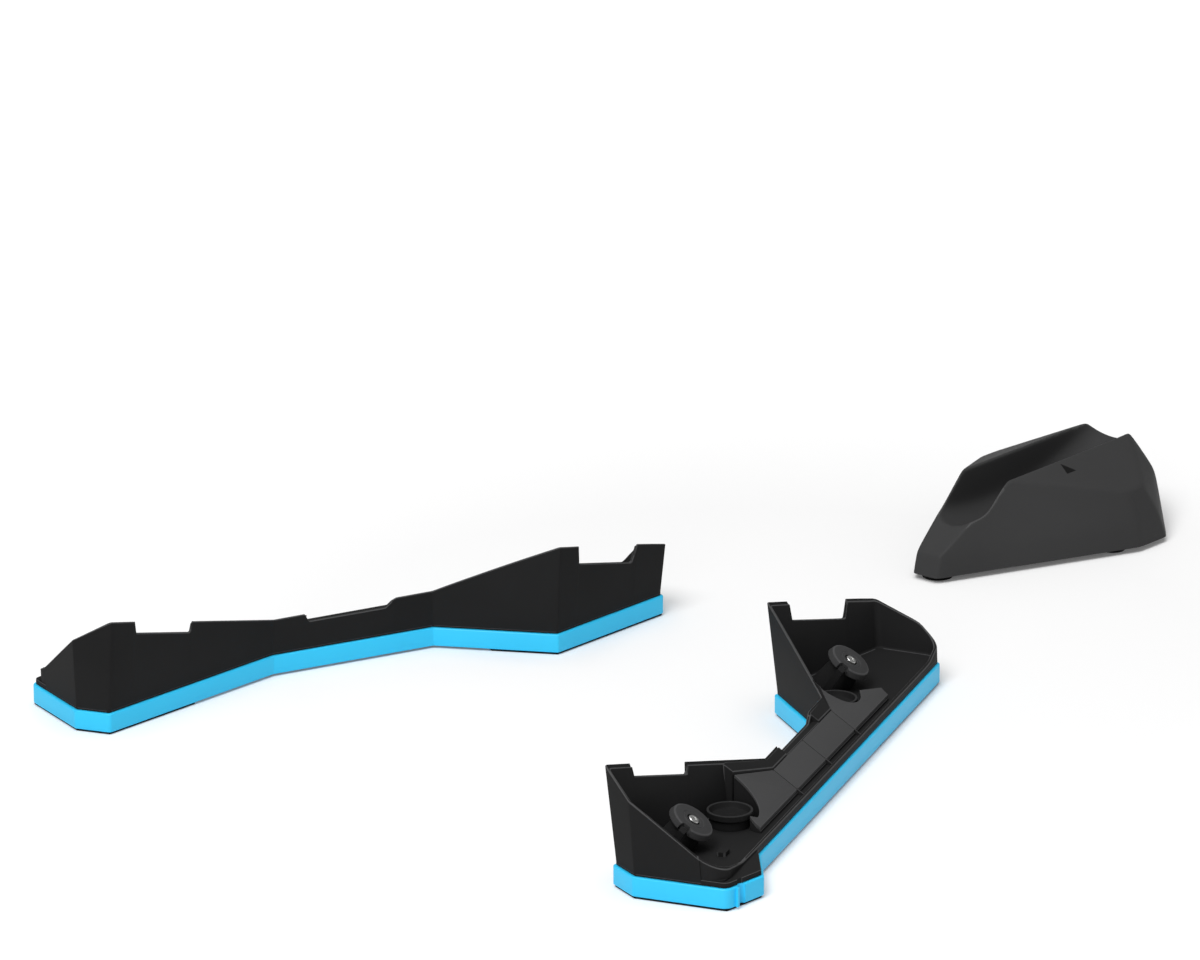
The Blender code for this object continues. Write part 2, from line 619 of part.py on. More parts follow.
def disc_bolt(end, spot, plate):
    low = BOLT_HEAD_THICK - GAP
    profile = [(0, -BOLT_LENGTH), (BOLT_RADIUS, -BOLT_LENGTH), (BOLT_RADIUS, -low),
               (BOLT_HEAD_RADIUS, -low), (BOLT_HEAD_RADIUS, -0.4 * MM), (BOLT_HEAD_RADIUS * 0.8, 0.4 * MM),
               (0, 0.6 * MM)]
    return place(turned(f"right_{end}_disc_bolt", profile, 20), plate,
                 (spot[0] * MM, spot[1] * MM, DISC_TOP), (BED_ANGLE, 0, 0), "steel")


def right_plate():
    """All pieces of the right plate; the left plate is its mirror image."""
    plate = empty("right_plate", (PLATE_X, PLATE_Y, 0), PLATE_SPLAY)
    pieces = [base(plate), sole("rear", -0.2, REAR_SOLE_END, plate),
              sole("front", FRONT_SOLE_START, 0.6, plate), tray(plate)] + panels(plate)
    for name, spot in ROLLER_SPOTS.items():
        pieces.append(axle(f"right_{name}_axle", spot, plate))
        pieces.append(roller(f"right_{name}_roller", spot, plate))
    for end, spot in GUIDE_SPOTS.items():
        pieces += [slot_liner(end, spot, plate), guide_pin(end, spot, plate)]
        pieces.append(cup(end, CUP_SPOTS[end], plate))
    for end, spot in DISC_SPOTS.items():
        pieces += [disc(end, spot, plate), disc_bolt(end, spot, plate)]
    return plate, pieces


def mirrored(plate, pieces):
    """The left plate: every piece of the right one reflected in the bicycle's plane."""
    flip = Matrix.Diagonal((1, -1, 1, 1))
    other = empty("left_plate", (PLATE_X, -PLATE_Y, 0), -PLATE_SPLAY)
    bpy.context.view_layer.update()
    for piece in pieces:
        mesh = evaluated_mesh(piece)
        mesh.transform(flip)
        mesh.flip_normals()
        twin = bpy.data.objects.new(piece.name.replace("right_", "left_"), mesh)
        MODEL.objects.link(twin)
        twin.parent = other
        twin.matrix_local = flip @ piece.matrix_local @ flip
    return other


def hull(name, points, shrink=0.0):
    """The convex solid round corner points and their mirror images, drawn in if asked."""
    shape = bmesh.new()
    xs = [p[0] for p in points]
    middle = Vector(((min(xs) + max(xs)) / 2, 0, 30))
    for x, y, z in points:
        for side in (-1, 1):
            corner = Vector((x, side * y, z))
            inward = middle - corner
            corner += Vector([shrink * (1 if v > 0 else -1) if abs(v) > 1e-6 else 0 for v in inward])
            shape.verts.new((corner + Vector((RISER_X, 0, 0))) * MM)
    bmesh.ops.convex_hull(shape, input=shape.verts)
    bmesh.ops.dissolve_limit(shape, angle_limit=radians(1.0), verts=shape.verts, edges=shape.edges)
    bmesh.ops.triangulate(shape, faces=shape.faces)
    return from_bmesh(name, shape)


def channel(name, grow=0.0):
    """The wheel's trough: a round-bottomed section carried along the wheel's curve."""
    loops = []
    width = (CHANNEL_HALF_WIDTH + grow)
    for k in range(19):
        x = -20.0 + 20.0 * k
        bottom = CHANNEL_LOW_Z - grow + (x - CHANNEL_LOW_X) ** 2 / (2 * WHEEL_RADIUS / MM)
        section = []
        for j in range(13):
            angle = pi * j / 12
            section.append((-width * cos(angle), bottom + CHANNEL_ROUND * (1 - sin(angle))))
        section += [(width + 3.5, 150.0), (-width - 3.5, 150.0)]
        loops.append([((x + RISER_X) * MM, y * MM, z * MM) for y, z in section])
    return place(loft(name, loops))


def riser():
    """Faceted wheel riser: a moulded shell, open below, ribbed, with the channel cut through."""
    body = place(hull("riser_body", RISER_HULL), finish="charcoal")
    combine(body, channel("wheel_channel"))
    core = place(hull("riser_core", RISER_HULL, RISER_WALL / MM))
    core.location.z = -RISER_WALL * 1.6
    combine(core, channel("channel_skin", RISER_WALL / MM))
    for x in RISER_RIBS:
        combine(core, place(block("riser_rib", (RIB_THICK, 0.4, 0.4)), None, ((x + RISER_X) * MM, 0, 0)))
    for x, y, radius in FOOT_SPOTS:
        boss = cylinder("foot_boss", (radius + 2) * MM, 0.4, 24)
        combine(core, place(boss, None, ((x + RISER_X) * MM, y * MM, 0)))
    combine(body, core)
    return body


def riser_foot(name, x, y, radius):
    """Rubber foot glued under a boss of the riser."""
    top = RISER_HULL[0][2] * MM - GAP
    rim = 0.8
    profile = [(0, 0), ((radius - rim) * MM, 0), (radius * MM, rim * MM), (radius * MM, top), (0, top)]
    return place(turned(name, profile, 24), None, ((x + RISER_X) * MM, y * MM, 0), finish="rubber")


clear_scene()
MODEL = new_collection("trainer_motion_plates")
CUTTERS = new_collection("cutters")
mirrored(*right_plate())
riser()
for foot_name, foot_place in zip(("riser_nose_foot", "riser_left_foot", "riser_right_foot"), FOOT_SPOTS):
    riser_foot(foot_name, *foot_place)
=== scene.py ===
"""Trainer motion plates and a front wheel riser, dressed over their solid models."""
import json
from math import atan, cos, radians, sin

import bmesh
import bpy
import numpy as np
from mathutils import Matrix

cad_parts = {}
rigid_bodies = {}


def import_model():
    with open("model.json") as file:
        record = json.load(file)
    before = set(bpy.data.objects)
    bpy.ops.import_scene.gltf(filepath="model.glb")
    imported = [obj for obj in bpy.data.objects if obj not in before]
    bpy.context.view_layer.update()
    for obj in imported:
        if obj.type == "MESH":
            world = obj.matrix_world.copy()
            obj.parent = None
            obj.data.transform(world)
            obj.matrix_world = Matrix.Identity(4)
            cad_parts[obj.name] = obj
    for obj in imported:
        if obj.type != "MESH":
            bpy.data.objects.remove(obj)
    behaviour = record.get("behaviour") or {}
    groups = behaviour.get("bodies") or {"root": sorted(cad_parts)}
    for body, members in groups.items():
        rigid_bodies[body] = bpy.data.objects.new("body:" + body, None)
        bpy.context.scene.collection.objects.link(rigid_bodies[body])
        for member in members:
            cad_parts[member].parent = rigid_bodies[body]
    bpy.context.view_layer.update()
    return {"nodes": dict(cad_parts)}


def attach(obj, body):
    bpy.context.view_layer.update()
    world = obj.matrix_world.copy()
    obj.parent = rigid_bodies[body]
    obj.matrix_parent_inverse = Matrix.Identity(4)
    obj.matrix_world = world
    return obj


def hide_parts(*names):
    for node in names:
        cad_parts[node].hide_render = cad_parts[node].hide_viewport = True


for leftover in list(bpy.data.objects):
    bpy.data.objects.remove(leftover, do_unlink=True)
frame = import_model()
cad = frame["nodes"]
MM = 0.001

# The camera stands behind the plates, on their right, and looks down at the set through a long lens.
# Its place, direction and focal length come from the fit of the two mirrored plates.
lens = bpy.data.cameras.new("camera")
lens.lens = 217.97
lens.sensor_width = 36.0
lens.clip_end = 40.0
camera = bpy.data.objects.new("camera", lens)
camera.matrix_world = Matrix(((0.64721, 0.23496, -0.72520, -4.6086),
                              (-0.76230, 0.19516, -0.61709, -3.7485),
                              (-0.00346, 0.95221, 0.30543, 2.0596),
                              (0.0, 0.0, 0.0, 1.0)))
bpy.context.collection.objects.link(camera)
bpy.context.scene.camera = camera

# The bases are blue injection-moulded shells, open below, that stand splayed on the floor.
# A deck closes each one on top; windows in it let the rollers through and slots take the guide pins.
SIDES = ("right", "left")
SPLAY = radians(20.6)
PLATE_X = -399.32
PLATE_Y = -343.3
BASE_LOW = 2.0
BASE_TOP = 18.4
BASE_SHELL = 3.0
BASE_FOOT_EDGE = 1.0
BASE_TOP_EDGE = 1.3
PLATE_CORNERS = [(-107.1, -0.5), (-104.1, 79.6), (-83.0, 104.0), (102.5, 39.0), (256.2, 40.6),
                 (341.2, 110.5), (473.8, 62.5), (467.8, 1.8)]
PROUD_CORNER = [(-24.0, 0.0), (-67.0, -17.2)]
PLATE_RADII = [9, 4, 4, 3, 3, 3, 5, 9, 3, 4]
GROOVE_PLACE = (-92.2, -7.8)
GROOVE_RADIUS = 4.5
GROOVE_CUT = (-5.0, 40.0)
ROLLER_PLACES = [(-62.0, 26.0), (-50.0, 74.0), (378.0, 78.0), (400.0, 30.0)]
ROLLER_WINDOW = (14.8, 12.8)
GUIDE_PLACES = [(17.0, 40.0), (306.0, 32.0)]
GUIDE_SLOT = (67.2, 13.2)
GUIDE_SLOT_ROUND = 5.0
DECK_CUT = (10.0, 30.0)


def unit(vectors):
    """Each vector divided by its own length."""
    return vectors / np.linalg.norm(vectors, axis=-1, keepdims=True)


def inset_plan(corners, distances):
    """Each edge of a clockwise plan moves inward by its distance; corners are where they cross."""
    start = np.array(corners, float)
    along = unit(np.roll(start, -1, 0) - start)
    inward = np.stack((along[:, 1], -along[:, 0]), 1)
    start = start + inward * np.broadcast_to(distances, len(start))[:, None]
    before, earlier = np.roll(start, 1, 0), np.roll(along, 1, 0)
    cross = earlier[:, 0] * along[:, 1] - earlier[:, 1] * along[:, 0]
    gap = start - before
    reach = (gap[:, 0] * along[:, 1] - gap[:, 1] * along[:, 0]) / cross
    return before + earlier * reach[:, None]


def rounded_plan(corners, radii, steps=6):
    """Arcs for corners: tangents start radius / tan(half angle) from the corner."""
    here = np.array(corners, float)
    radii = np.broadcast_to(radii, len(here)).astype(float)
    back, on = unit(np.roll(here, 1, 0) - here), unit(np.roll(here, -1, 0) - here)
    half = np.arccos(np.clip((back * on).sum(1), -1, 1)) / 2
    centre = here + unit(back + on) * (radii / np.sin(half))[:, None]
    first = here + back * (radii / np.tan(half))[:, None] - centre
    last = here + on * (radii / np.tan(half))[:, None] - centre
    turn = np.arctan2(first[:, 0] * last[:, 1] - first[:, 1] * last[:, 0], (first * last).sum(1))
    angle = np.arctan2(first[:, 1], first[:, 0])[:, None] + turn[:, None] * np.linspace(0, 1, steps + 1)
    arcs = centre[:, None] + radii[:, None, None] * np.stack((np.cos(angle), np.sin(angle)), 2)
    return arcs.reshape(-1, 2)


def stand_in_room(points, side):
    """Plate millimetres (along, inward, up), turned by the splay and moved; mirrored for the left."""
    along, inward, up = np.moveaxis(np.asarray(points, float), -1, 0)
    x = PLATE_X + along * cos(SPLAY) - inward * sin(SPLAY)
    y = PLATE_Y + along * sin(SPLAY) + inward * cos(SPLAY)
    return np.stack((x, y if side == "right" else -y, up), -1) * MM


def circle(centre, radius, count):
    """Points round a centre at equal angles."""
    angle = np.linspace(0, 2 * np.pi, count, endpoint=False)
    return np.array(centre) + radius * np.column_stack((np.cos(angle), np.sin(angle)))


def finish_mesh(mesh, smooth, least_bend=0.17, narrow=0.0007, least_share=0.3):
    """Smooths up to an angle and marks the faces that round a convex edge, for a painted highlight.

    Such a face is narrow, by twice its area over its perimeter, and edges that bend outwards make up
    at least the given share of that perimeter.
    """
    mesh.shade_smooth()
    mesh.set_sharp_from_angle(angle=radians(smooth))
    shape = bmesh.new()
    shape.from_mesh(mesh)
    bent = np.zeros(len(shape.faces))
    for edge in shape.edges:
        if len(edge.link_faces) == 2 and edge.calc_face_angle_signed(0.0) > least_bend:
            for face in edge.link_faces:
                bent[face.index] += edge.calc_length()
    sizes = np.array([(f.calc_area(), f.calc_perimeter()) for f in shape.faces]).reshape(-1, 2)
    shape.free()
    area, perimeter = sizes.T
    # These faces are painted lighter by the materials: a painted edge highlight.
    highlit = (2 * area / np.maximum(perimeter, 1e-9) < narrow) & (bent > least_share * perimeter)
    mesh.attributes.new("painted_edge_highlight", "FLOAT", "FACE").data.foreach_set("value", highlit.astype(np.float32))


def mesh_of(name, points, faces, smooth=40.0):
    """A mesh of points and faces with its normals turned outwards, smooth up to the given angle."""
    mesh = bpy.data.meshes.new(name)
    mesh.from_pydata(np.asarray(points).reshape(-1, 3).tolist(), [], [list(map(int, f)) for f in faces])
    shape = bmesh.new()
    shape.from_mesh(mesh)
    bmesh.ops.remove_doubles(shape, verts=shape.verts, dist=1e-6)
    bmesh.ops.recalc_face_normals(shape, faces=shape.faces)
    shape.to_mesh(mesh)
    shape.free()
    finish_mesh(mesh, smooth)
    piece = bpy.data.objects.new(name, mesh)
    bpy.context.collection.objects.link(piece)
    return piece


def ring_faces(rings, count, close_rings=False, start=0):
    """Quads between rings of equally many points; open rings get one face over each end."""
    step = np.arange(count)
    pairs = [(k, (k + 1) % rings) for k in range(rings if close_rings else rings - 1)]
    faces = []
    for low, high in pairs:
        quads = np.stack((low * count + step, low * count + (step + 1) % count,
                          high * count + (step + 1) % count, high * count + step), 1)
        faces += (quads + start).tolist()
    if not close_rings:
        faces += [(step[::-1] + start).tolist(), (step + (rings - 1) * count + start).tolist()]
    return faces


def plate_piece(name, rings, side, smooth=40.0, close_rings=False):
    """A mesh from rings of points in plate millimetres, for the right or the left plate."""
    faces = ring_faces(len(rings), rings.shape[1], close_rings)
    return mesh_of(name, stand_in_room(rings, side), faces, smooth)


def rings_of(levels, plan, radii, steps=6, least=0.4):
    """One rounded plan outline for each (inset, height) level, its radii smaller by the inset."""
    rings = []
    for inset, height in levels:
        outline = rounded_plan(inset_plan(plan, inset), np.maximum(least, np.array(radii) - inset), steps)
        rings.append(np.column_stack((outline, np.full(len(outline), height))))
    return np.array(rings)


def edge_round(inset, height, radius, start, end, steps=4):
    """Levels of an edge arc: its centre at the inset and height, from one angle to another."""
    angle = np.radians(np.linspace(start, end, steps + 1))
    return [(inset - radius * np.cos(a), height + radius * np.sin(a)) for a in angle]


def prism_points(outline, low, high):
    """An outline at two heights."""
    outline = np.asarray(outline, float)
    return np.array([np.column_stack((outline, np.full(len(outline), z))) for z in (low, high)])


def glide_box(place, length, width, low, high, radius=0.0):
    """Two rings of a box that lies along the bicycle over a place of the plate."""
    corners = np.array([(-length, -width), (-length, width), (length, width), (length, -width)]) / 2
    if radius:
        corners = rounded_plan(corners, radius)
    turn = np.array([[cos(SPLAY), -sin(SPLAY)], [sin(SPLAY), cos(SPLAY)]])
    return prism_points(corners @ turn + np.array(place), low, high)


def cut_away(piece, rings, name, side):
    """Takes the volume between rings out of the piece and bakes the result into its mesh."""
    tool = plate_piece(name, rings, side)
    step = piece.modifiers.new(name, "BOOLEAN")
    step.object = tool
    step.solver = "EXACT"
    graph = bpy.context.evaluated_depsgraph_get()
    cut = bpy.data.meshes.new_from_object(piece.evaluated_get(graph))
    piece.modifiers.clear()
    piece.data = cut
    bpy.data.objects.remove(tool, do_unlink=True)
    for old in list(cut.attributes):
        if old.name == "painted_edge_highlight":
            cut.attributes.remove(old)
    finish_mesh(cut, smooth=35.0)


def moulded_plastic(name, colour, roughness, grain, grain_size, gloss_level, variation, edge_light=1.0):
    """Moulded plastic: fine spark-eroded grain in the bump, faint flow clouds in colour and gloss.

    The colour and gloss follow a broad noise; marked edges get a painted highlight, the colour times
    edge_light.
    """
    finish = bpy.data.materials.new(name)
    finish.use_nodes = True
    nodes, links = finish.node_tree.nodes, finish.node_tree.links
    shader = nodes["Principled BSDF"]
    place = nodes.new("ShaderNodeTexCoord")
    clouds = nodes.new("ShaderNodeTexNoise")
    clouds.inputs["Scale"].default_value = 9.0
    clouds.inputs["Detail"].default_value = 4.0
    links.new(place.outputs["Object"], clouds.inputs["Vector"])
    tint = nodes.new("ShaderNodeValToRGB")
    tint.color_ramp.elements[0].position = 0.3
    tint.color_ramp.elements[1].position = 0.7
    tint.color_ramp.elements[0].color = (*[c * (1 - variation) for c in colour], 1)
    tint.color_ramp.elements[1].color = (*[min(1, c * (1 + variation)) for c in colour], 1)
    links.new(clouds.outputs["Fac"], tint.inputs["Fac"])
    edges = nodes.new("ShaderNodeAttribute")
    edges.attribute_name = "painted_edge_highlight"
    # Painted highlight: on the marked edge faces the base colour is lightened by edge_light.
    edge_highlight = nodes.new("ShaderNodeMix")
    edge_highlight.data_type = "RGBA"
    edge_highlight.inputs["B"].default_value = (*[min(1, c * edge_light) for c in colour], 1)
    links.new(edges.outputs["Fac"], edge_highlight.inputs["Factor"])
    links.new(tint.outputs["Color"], edge_highlight.inputs["A"])
    links.new(edge_highlight.outputs["Result"], shader.inputs["Base Color"])
    fine = nodes.new("ShaderNodeTexNoise")
    fine.inputs["Scale"].default_value = 1000.0 / grain_size
    fine.inputs["Detail"].default_value = 3.0
    links.new(place.outputs["Object"], fine.inputs["Vector"])
    gloss = nodes.new("ShaderNodeMapRange")
    gloss.inputs["To Min"].default_value = roughness - 0.06
    gloss.inputs["To Max"].default_value = roughness + 0.06
    links.new(clouds.outputs["Fac"], gloss.inputs["Value"])
    links.new(gloss.outputs["Result"], shader.inputs["Roughness"])
    bump = nodes.new("ShaderNodeBump")
    bump.inputs["Strength"].default_value = grain
    bump.inputs["Distance"].default_value = 0.0001
    links.new(fine.outputs["Fac"], bump.inputs["Height"])
    links.new(bump.outputs["Normal"], shader.inputs["Normal"])
    shader.inputs["Specular IOR Level"].default_value = gloss_level
    return finish


def dress(piece, finish, body=None, stands_for=()):
    """Gives a piece its material, sets it on its body and hides what it stands for."""
    piece.data.materials.clear()
    piece.data.materials.append(finish)
    if body:
        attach(piece, body)
        if stands_for:
            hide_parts(*stands_for)


blue_plastic = moulded_plastic("blue_plastic", (0.032, 0.610, 1.000), roughness=0.40, grain=0.10,
                               grain_size=0.8, gloss_level=0.33, variation=0.03)
base_plan = PLATE_CORNERS + PROUD_CORNER
groove = prism_points(circle(GROOVE_PLACE, GROOVE_RADIUS, 24), *GROOVE_CUT)
for side in SIDES:
    levels = [(BASE_SHELL, BASE_TOP - BASE_SHELL), (BASE_SHELL, BASE_LOW), (BASE_FOOT_EDGE, BASE_LOW)]
    levels += edge_round(BASE_FOOT_EDGE, BASE_LOW + BASE_FOOT_EDGE, BASE_FOOT_EDGE, -90, 0, steps=3)
    levels += edge_round(BASE_TOP_EDGE, BASE_TOP - BASE_TOP_EDGE, BASE_TOP_EDGE, 0, 90)
    base = plate_piece(f"{side}_blue_base", rings_of(levels, base_plan, PLATE_RADII, steps=8), side)
    cut_away(base, groove, "corner_groove", side)
    for place in ROLLER_PLACES:
        cut_away(base, glide_box(place, *ROLLER_WINDOW, *DECK_CUT), "roller_window", side)
    for place in GUIDE_PLACES:
        cut_away(base, glide_box(place, *GUIDE_SLOT, *DECK_CUT, GUIDE_SLOT_ROUND), "guide_slot", side)
    dress(base, blue_plastic, "floor_set", [f"{side}_base"])

# Cross ribs stiffen each base inside, and two moulded cheeks beside every window carry a roller's axle.
# A wall backs the corner groove. They belong to the base's own moulding and show only from below.
RIB_PLACES = (-28.0, 75.0, 116.0, 158.0, 200.0, 241.0, 352.0, 430.0)
RIB_THICK = 2.5
RIB_TUCK = 0.2
RIB_LOW = BASE_LOW + 0.05
RIB_TOP = BASE_TOP - BASE_SHELL + RIB_TUCK
CHEEK_SHIFT = 8.6
CHEEK_LONG = 22.8
CHEEK_THICK = 4.0
CHEEK_LOW = 7.4
GROOVE_BACK = 7.2
GROOVE_BACK_TOP = BASE_TOP - 0.4


def cross_rib(along):
    """The outline of a rib at a place, from one side wall's inner face to the other's."""
    inner = inset_plan(base_plan, BASE_SHELL - RIB_TUCK)
    ends = []
    for start, end in zip(inner, np.roll(inner, -1, 0)):
        if (start[0] - along) * (end[0] - along) < 0:
            ends.append(start[1] + (along - start[0]) / (end[0] - start[0]) * (end[1] - start[1]))
    low, high = along - RIB_THICK / 2, along + RIB_THICK / 2
    return [(low, min(ends)), (low, max(ends)), (high, max(ends)), (high, min(ends))]


prisms = [prism_points(cross_rib(along), RIB_LOW, RIB_TOP) for along in RIB_PLACES]
for place in ROLLER_PLACES:
    for shift in (-CHEEK_SHIFT, CHEEK_SHIFT):
        spot = (place[0] + shift * sin(SPLAY), place[1] + shift * cos(SPLAY))
        prisms.append(glide_box(spot, CHEEK_LONG, CHEEK_THICK, CHEEK_LOW, RIB_TOP))
angle = np.radians(np.linspace(10, 170, 17))
arc = np.column_stack((np.cos(angle), np.sin(angle)))
backing = np.array(GROOVE_PLACE) + np.concatenate((arc * (GROOVE_RADIUS + 0.02), arc[::-1] * GROOVE_BACK))
prisms.append(prism_points(backing, RIB_LOW, GROOVE_BACK_TOP))
points, faces = [], []
for prism in prisms:
    faces += ring_faces(2, prism.shape[1], start=len(points))
    points += prism.reshape(-1, 3).tolist()
for side in SIDES:
    ribs = mesh_of(f"{side}_base_ribs", stand_in_room(points, side), faces)
    dress(ribs, blue_plastic, "floor_set", [f"{side}_base"])

# Rubber soles lie under both ends of each base, and rubber rings line the slots to stop the pins.
# Both are cut or moulded from black rubber with a dull, slightly dusty face.
rubber = moulded_plastic("rubber", (0.008, 0.008, 0.008), roughness=0.85, grain=0.5, grain_size=1.6,
                         gloss_level=0.15, variation=0.3)
for side in SIDES:
    for part in ("rear_sole", "front_sole", "rear_slot_liner", "front_slot_liner"):
        dress(cad[f"{side}_{part}"], rubber)
for part in ("riser_nose_foot", "riser_left_foot", "riser_right_foot"):
    dress(cad[part], rubber)


# Hard white nylon rollers turn on steel axles in the deck's windows and carry the tray's runners.
# The axles and the guide pins are turned steel with faint tool marks.
def turned_steel(name):
    """Steel with fine tool marks: one small noise drives both the bump and the gloss."""
    finish = bpy.data.materials.new(name)
    finish.use_nodes = True
    nodes, links = finish.node_tree.nodes, finish.node_tree.links
    shader = nodes["Principled BSDF"]
    shader.inputs["Base Color"].default_value = (0.58, 0.58, 0.57, 1)
    shader.inputs["Metallic"].default_value = 1.0
    place = nodes.new("ShaderNodeTexCoord")
    marks = nodes.new("ShaderNodeTexNoise")
    marks.inputs["Scale"].default_value = 900.0
    marks.inputs["Detail"].default_value = 2.0
    links.new(place.outputs["Object"], marks.inputs["Vector"])
    gloss = nodes.new("ShaderNodeMapRange")
    gloss.inputs["To Min"].default_value = 0.24
    gloss.inputs["To Max"].default_value = 0.42
    links.new(marks.outputs["Fac"], gloss.inputs["Value"])
    links.new(gloss.outputs["Result"], shader.inputs["Roughness"])
    bump = nodes.new("ShaderNodeBump")
    bump.inputs["Strength"].default_value = 0.15
    bump.inputs["Distance"].default_value = 0.00005
    links.new(marks.outputs["Fac"], bump.inputs["Height"])
    links.new(bump.outputs["Normal"], shader.inputs["Normal"])
    return finish


steel = turned_steel("turned_steel")
nylon = moulded_plastic("white_nylon", (0.74, 0.74, 0.71), roughness=0.4, grain=0.08, grain_size=0.5,
                        gloss_level=0.45, variation=0.03)
for side in SIDES:
    for corner in ("rear_outer", "rear_inner", "front_inner", "front_outer"):
        dress(cad[f"{side}_{corner}_axle"], steel)
        dress(cad[f"{side}_{corner}_roller"], nylon)
    for end in ("rear", "front"):
        dress(cad[f"{side}_{end}_guide_pin"], steel)

# The tray is one black moulding. Its wall leans outwards all round and its top edge follows the bed's
# slope, with a wide notch in each inner wall and a shallow slot at the waist. Outlines at the skirt
# and a tall step above it give the wall at every height between.
SKIRT = 20.0
FLOOR = 24.5
TALL = 100.0
BED_SLOPE = 0.695
BED_LEAN = atan(BED_SLOPE)
WALL = 3.0
RIM = 2.0
WALL_EDGE = 0.9
FOOT_FILLET = 2.0
TONGUE = 1.5
TONGUE_LOW = FLOOR - 2.5
TONGUE_TOP = FLOOR - 0.6
TRAY_INSET = 2.2
CORNER_STEPS = 8
NOTCH_LEVEL = 80.0
LEANS = np.array([0.06, 0.08, 0.10, 0.09, 0.10, 0.10, 0.06, -0.06])
TRAY_RADII = np.array([14, 3, 3, 2, 2, 2, 4, 6], float)
REAR_NOTCH = np.array([(-55.6, 130.0), (-57.4, 92.0), (-58.9, 86.2), (-57.4, 84.5), (5.8, 67.4),
                       (7.2, 67.8), (8.0, 69.4), (11.0, 130.0)])
FRONT_NOTCH = np.array([(362.9, 130.0), (364.4, 79.3), (365.1, 78.0), (366.5, 77.3), (430.4, 61.0),
                        (432.9, 61.8), (434.2, 63.8), (439.6, 130.0)])
REAR_STEP = 0.9
REAR_STEP_PLACE = 0.10
WAIST_SLOT = np.array([(131.0, 70.0), (133.3, 49.5), (137.5, 44.4), (210.2, 44.4), (216.5, 49.5),
                       (221.0, 70.0)])


def bed_height(inward):
    """The bed's height: its slope times the inward place, from the foot of the outer wall."""
    return SKIRT + 5.0 + BED_SLOPE * (inward - 4.0)


def edge_height(along, inward):
    """Height of the tray's top edge: the bed's slope and a little more, with its own line at each end.

    Each row gives heights at the inward marks for one place along the plate, and the rest lies on
    straight lines between the marks and between the rows.
    """
    marks = np.array([-30.0, 0.0, 4.0, 12.5, 21.5, 27.0, 65.0, 130.0])
    bed = bed_height(marks) + 1.5
    bed[:4] = SKIRT + np.array((2.2, 4.9, 5.4, 12.4))
    rear, near, waist, shoulder, past = (bed.copy() for _ in range(5))
    rear[:4] = SKIRT + np.array((-3.0, 9.6, 12.0, 15.4))
    rear[6:] = bed[6:] + (0.8, 1.2)
    near[6:] = bed[6:] + (1.4, 1.0)
    waist[6:] = bed[6:] + (0.4, 0.6)
    shoulder[6:] = SKIRT + np.array((45.9, 88.4))
    past[6:] = SKIRT + np.array((46.8, 90.0))
    front = SKIRT + np.array((-3.0, 8.6, 12.7, 22.0, 30.3, 32.9, 46.6, 91.6))
    places = np.array([-160.0, -92.0, -60.0, 10.0, 253.6, 342.0, 440.0, 466.0, 520.0])
    table = np.array([np.interp(inward, marks, row)
                      for row in (rear, rear, near, waist, bed, shoulder, past, front, front)])
    spot = np.clip(np.searchsorted(places, along) - 1, 0, len(places) - 2)
    part = np.clip((along - places[spot]) / (places[spot + 1] - places[spot]), 0, 1)
    low = np.take_along_axis(table, spot[None], 0)[0]
    high = np.take_along_axis(table, spot[None] + 1, 0)[0]
    return low * (1 - part) + high * part


def straight_stations(count, marks=(), edge=None):
    """Even fractions along an edge, and on a notched edge the notch's own corners as well."""
    even = np.linspace(0, 1, count + 2)[1:-1]
    if edge is None:
        return even
    corners = inset_plan(PLATE_CORNERS, TRAY_INSET - LEANS * (NOTCH_LEVEL - SKIRT))
    start, end = corners[edge][0], corners[(edge + 1) % 8][0]
    own = (np.array(marks) - start) / (end - start)
    spread = np.abs(even[:, None] - own[None]).min(1)
    return np.sort(np.concatenate((even[spread > 0.004], own)))


rear_stations = np.sort(np.append(straight_stations(16), (REAR_STEP_PLACE, REAR_STEP_PLACE + 0.004)))
stations = [rear_stations, straight_stations(8), straight_stations(40, REAR_NOTCH[:, 0], 2),
            straight_stations(30, WAIST_SLOT[:, 0], 3), straight_stations(20),
            straight_stations(30, FRONT_NOTCH[:, 0], 5), straight_stations(16), straight_stations(60)]
edge_of = np.repeat(np.arange(8), [CORNER_STEPS + 1 + len(fractions) for fractions in stations])


def wall_plan(height, depth):
    """The wall's outline at a height, inset by its lean, at a depth behind its outer face.

    Each corner is an arc and each straight edge has its stations. The rear edge steps back past its
    mark, and the outer rim is thinner than the rest.
    """
    inset = TRAY_INSET + np.append(np.full(7, depth), depth * RIM / WALL) - LEANS * (height - SKIRT)
    arcs = rounded_plan(inset_plan(PLATE_CORNERS, inset), TRAY_RADII + depth * 0.4, CORNER_STEPS)
    arcs = arcs.reshape(len(PLATE_CORNERS), CORNER_STEPS + 1, 2)
    runs = []
    for corner, following, fractions in zip(arcs, np.roll(arcs, -1, 0), stations):
        run = corner[-1] + (following[0] - corner[-1]) * np.array(fractions)[:, None]
        runs += [corner, run]
    runs[0][:, 0] += np.linspace(0, REAR_STEP, len(runs[0]))
    runs[1][:, 0] += REAR_STEP * (stations[0] <= REAR_STEP_PLACE)
    return np.concatenate(runs)


def wall_top(depth):
    """Top height at each station: the edge height at the leaning wall, cut down by the notches.

    The wall's place depends on its height, so both are found by turns, from a height between.
    """
    top = np.full(len(edge_of), 60.0)
    low, high = wall_plan(SKIRT, depth), wall_plan(SKIRT + TALL, depth)
    for _ in range(4):
        here = low + (high - low) * ((top - SKIRT) / TALL)[:, None]
        top = edge_height(here[:, 0], here[:, 1])
    for edge, notch in ((2, REAR_NOTCH), (3, WAIST_SLOT), (5, FRONT_NOTCH)):
        along = here[:, 0]
        room = (edge_of == edge) & (along > notch[0, 0]) & (along < notch[-1, 0])
        top = np.where(room, np.minimum(top, np.interp(along, notch[:, 0], notch[:, 1])), top)
    return top


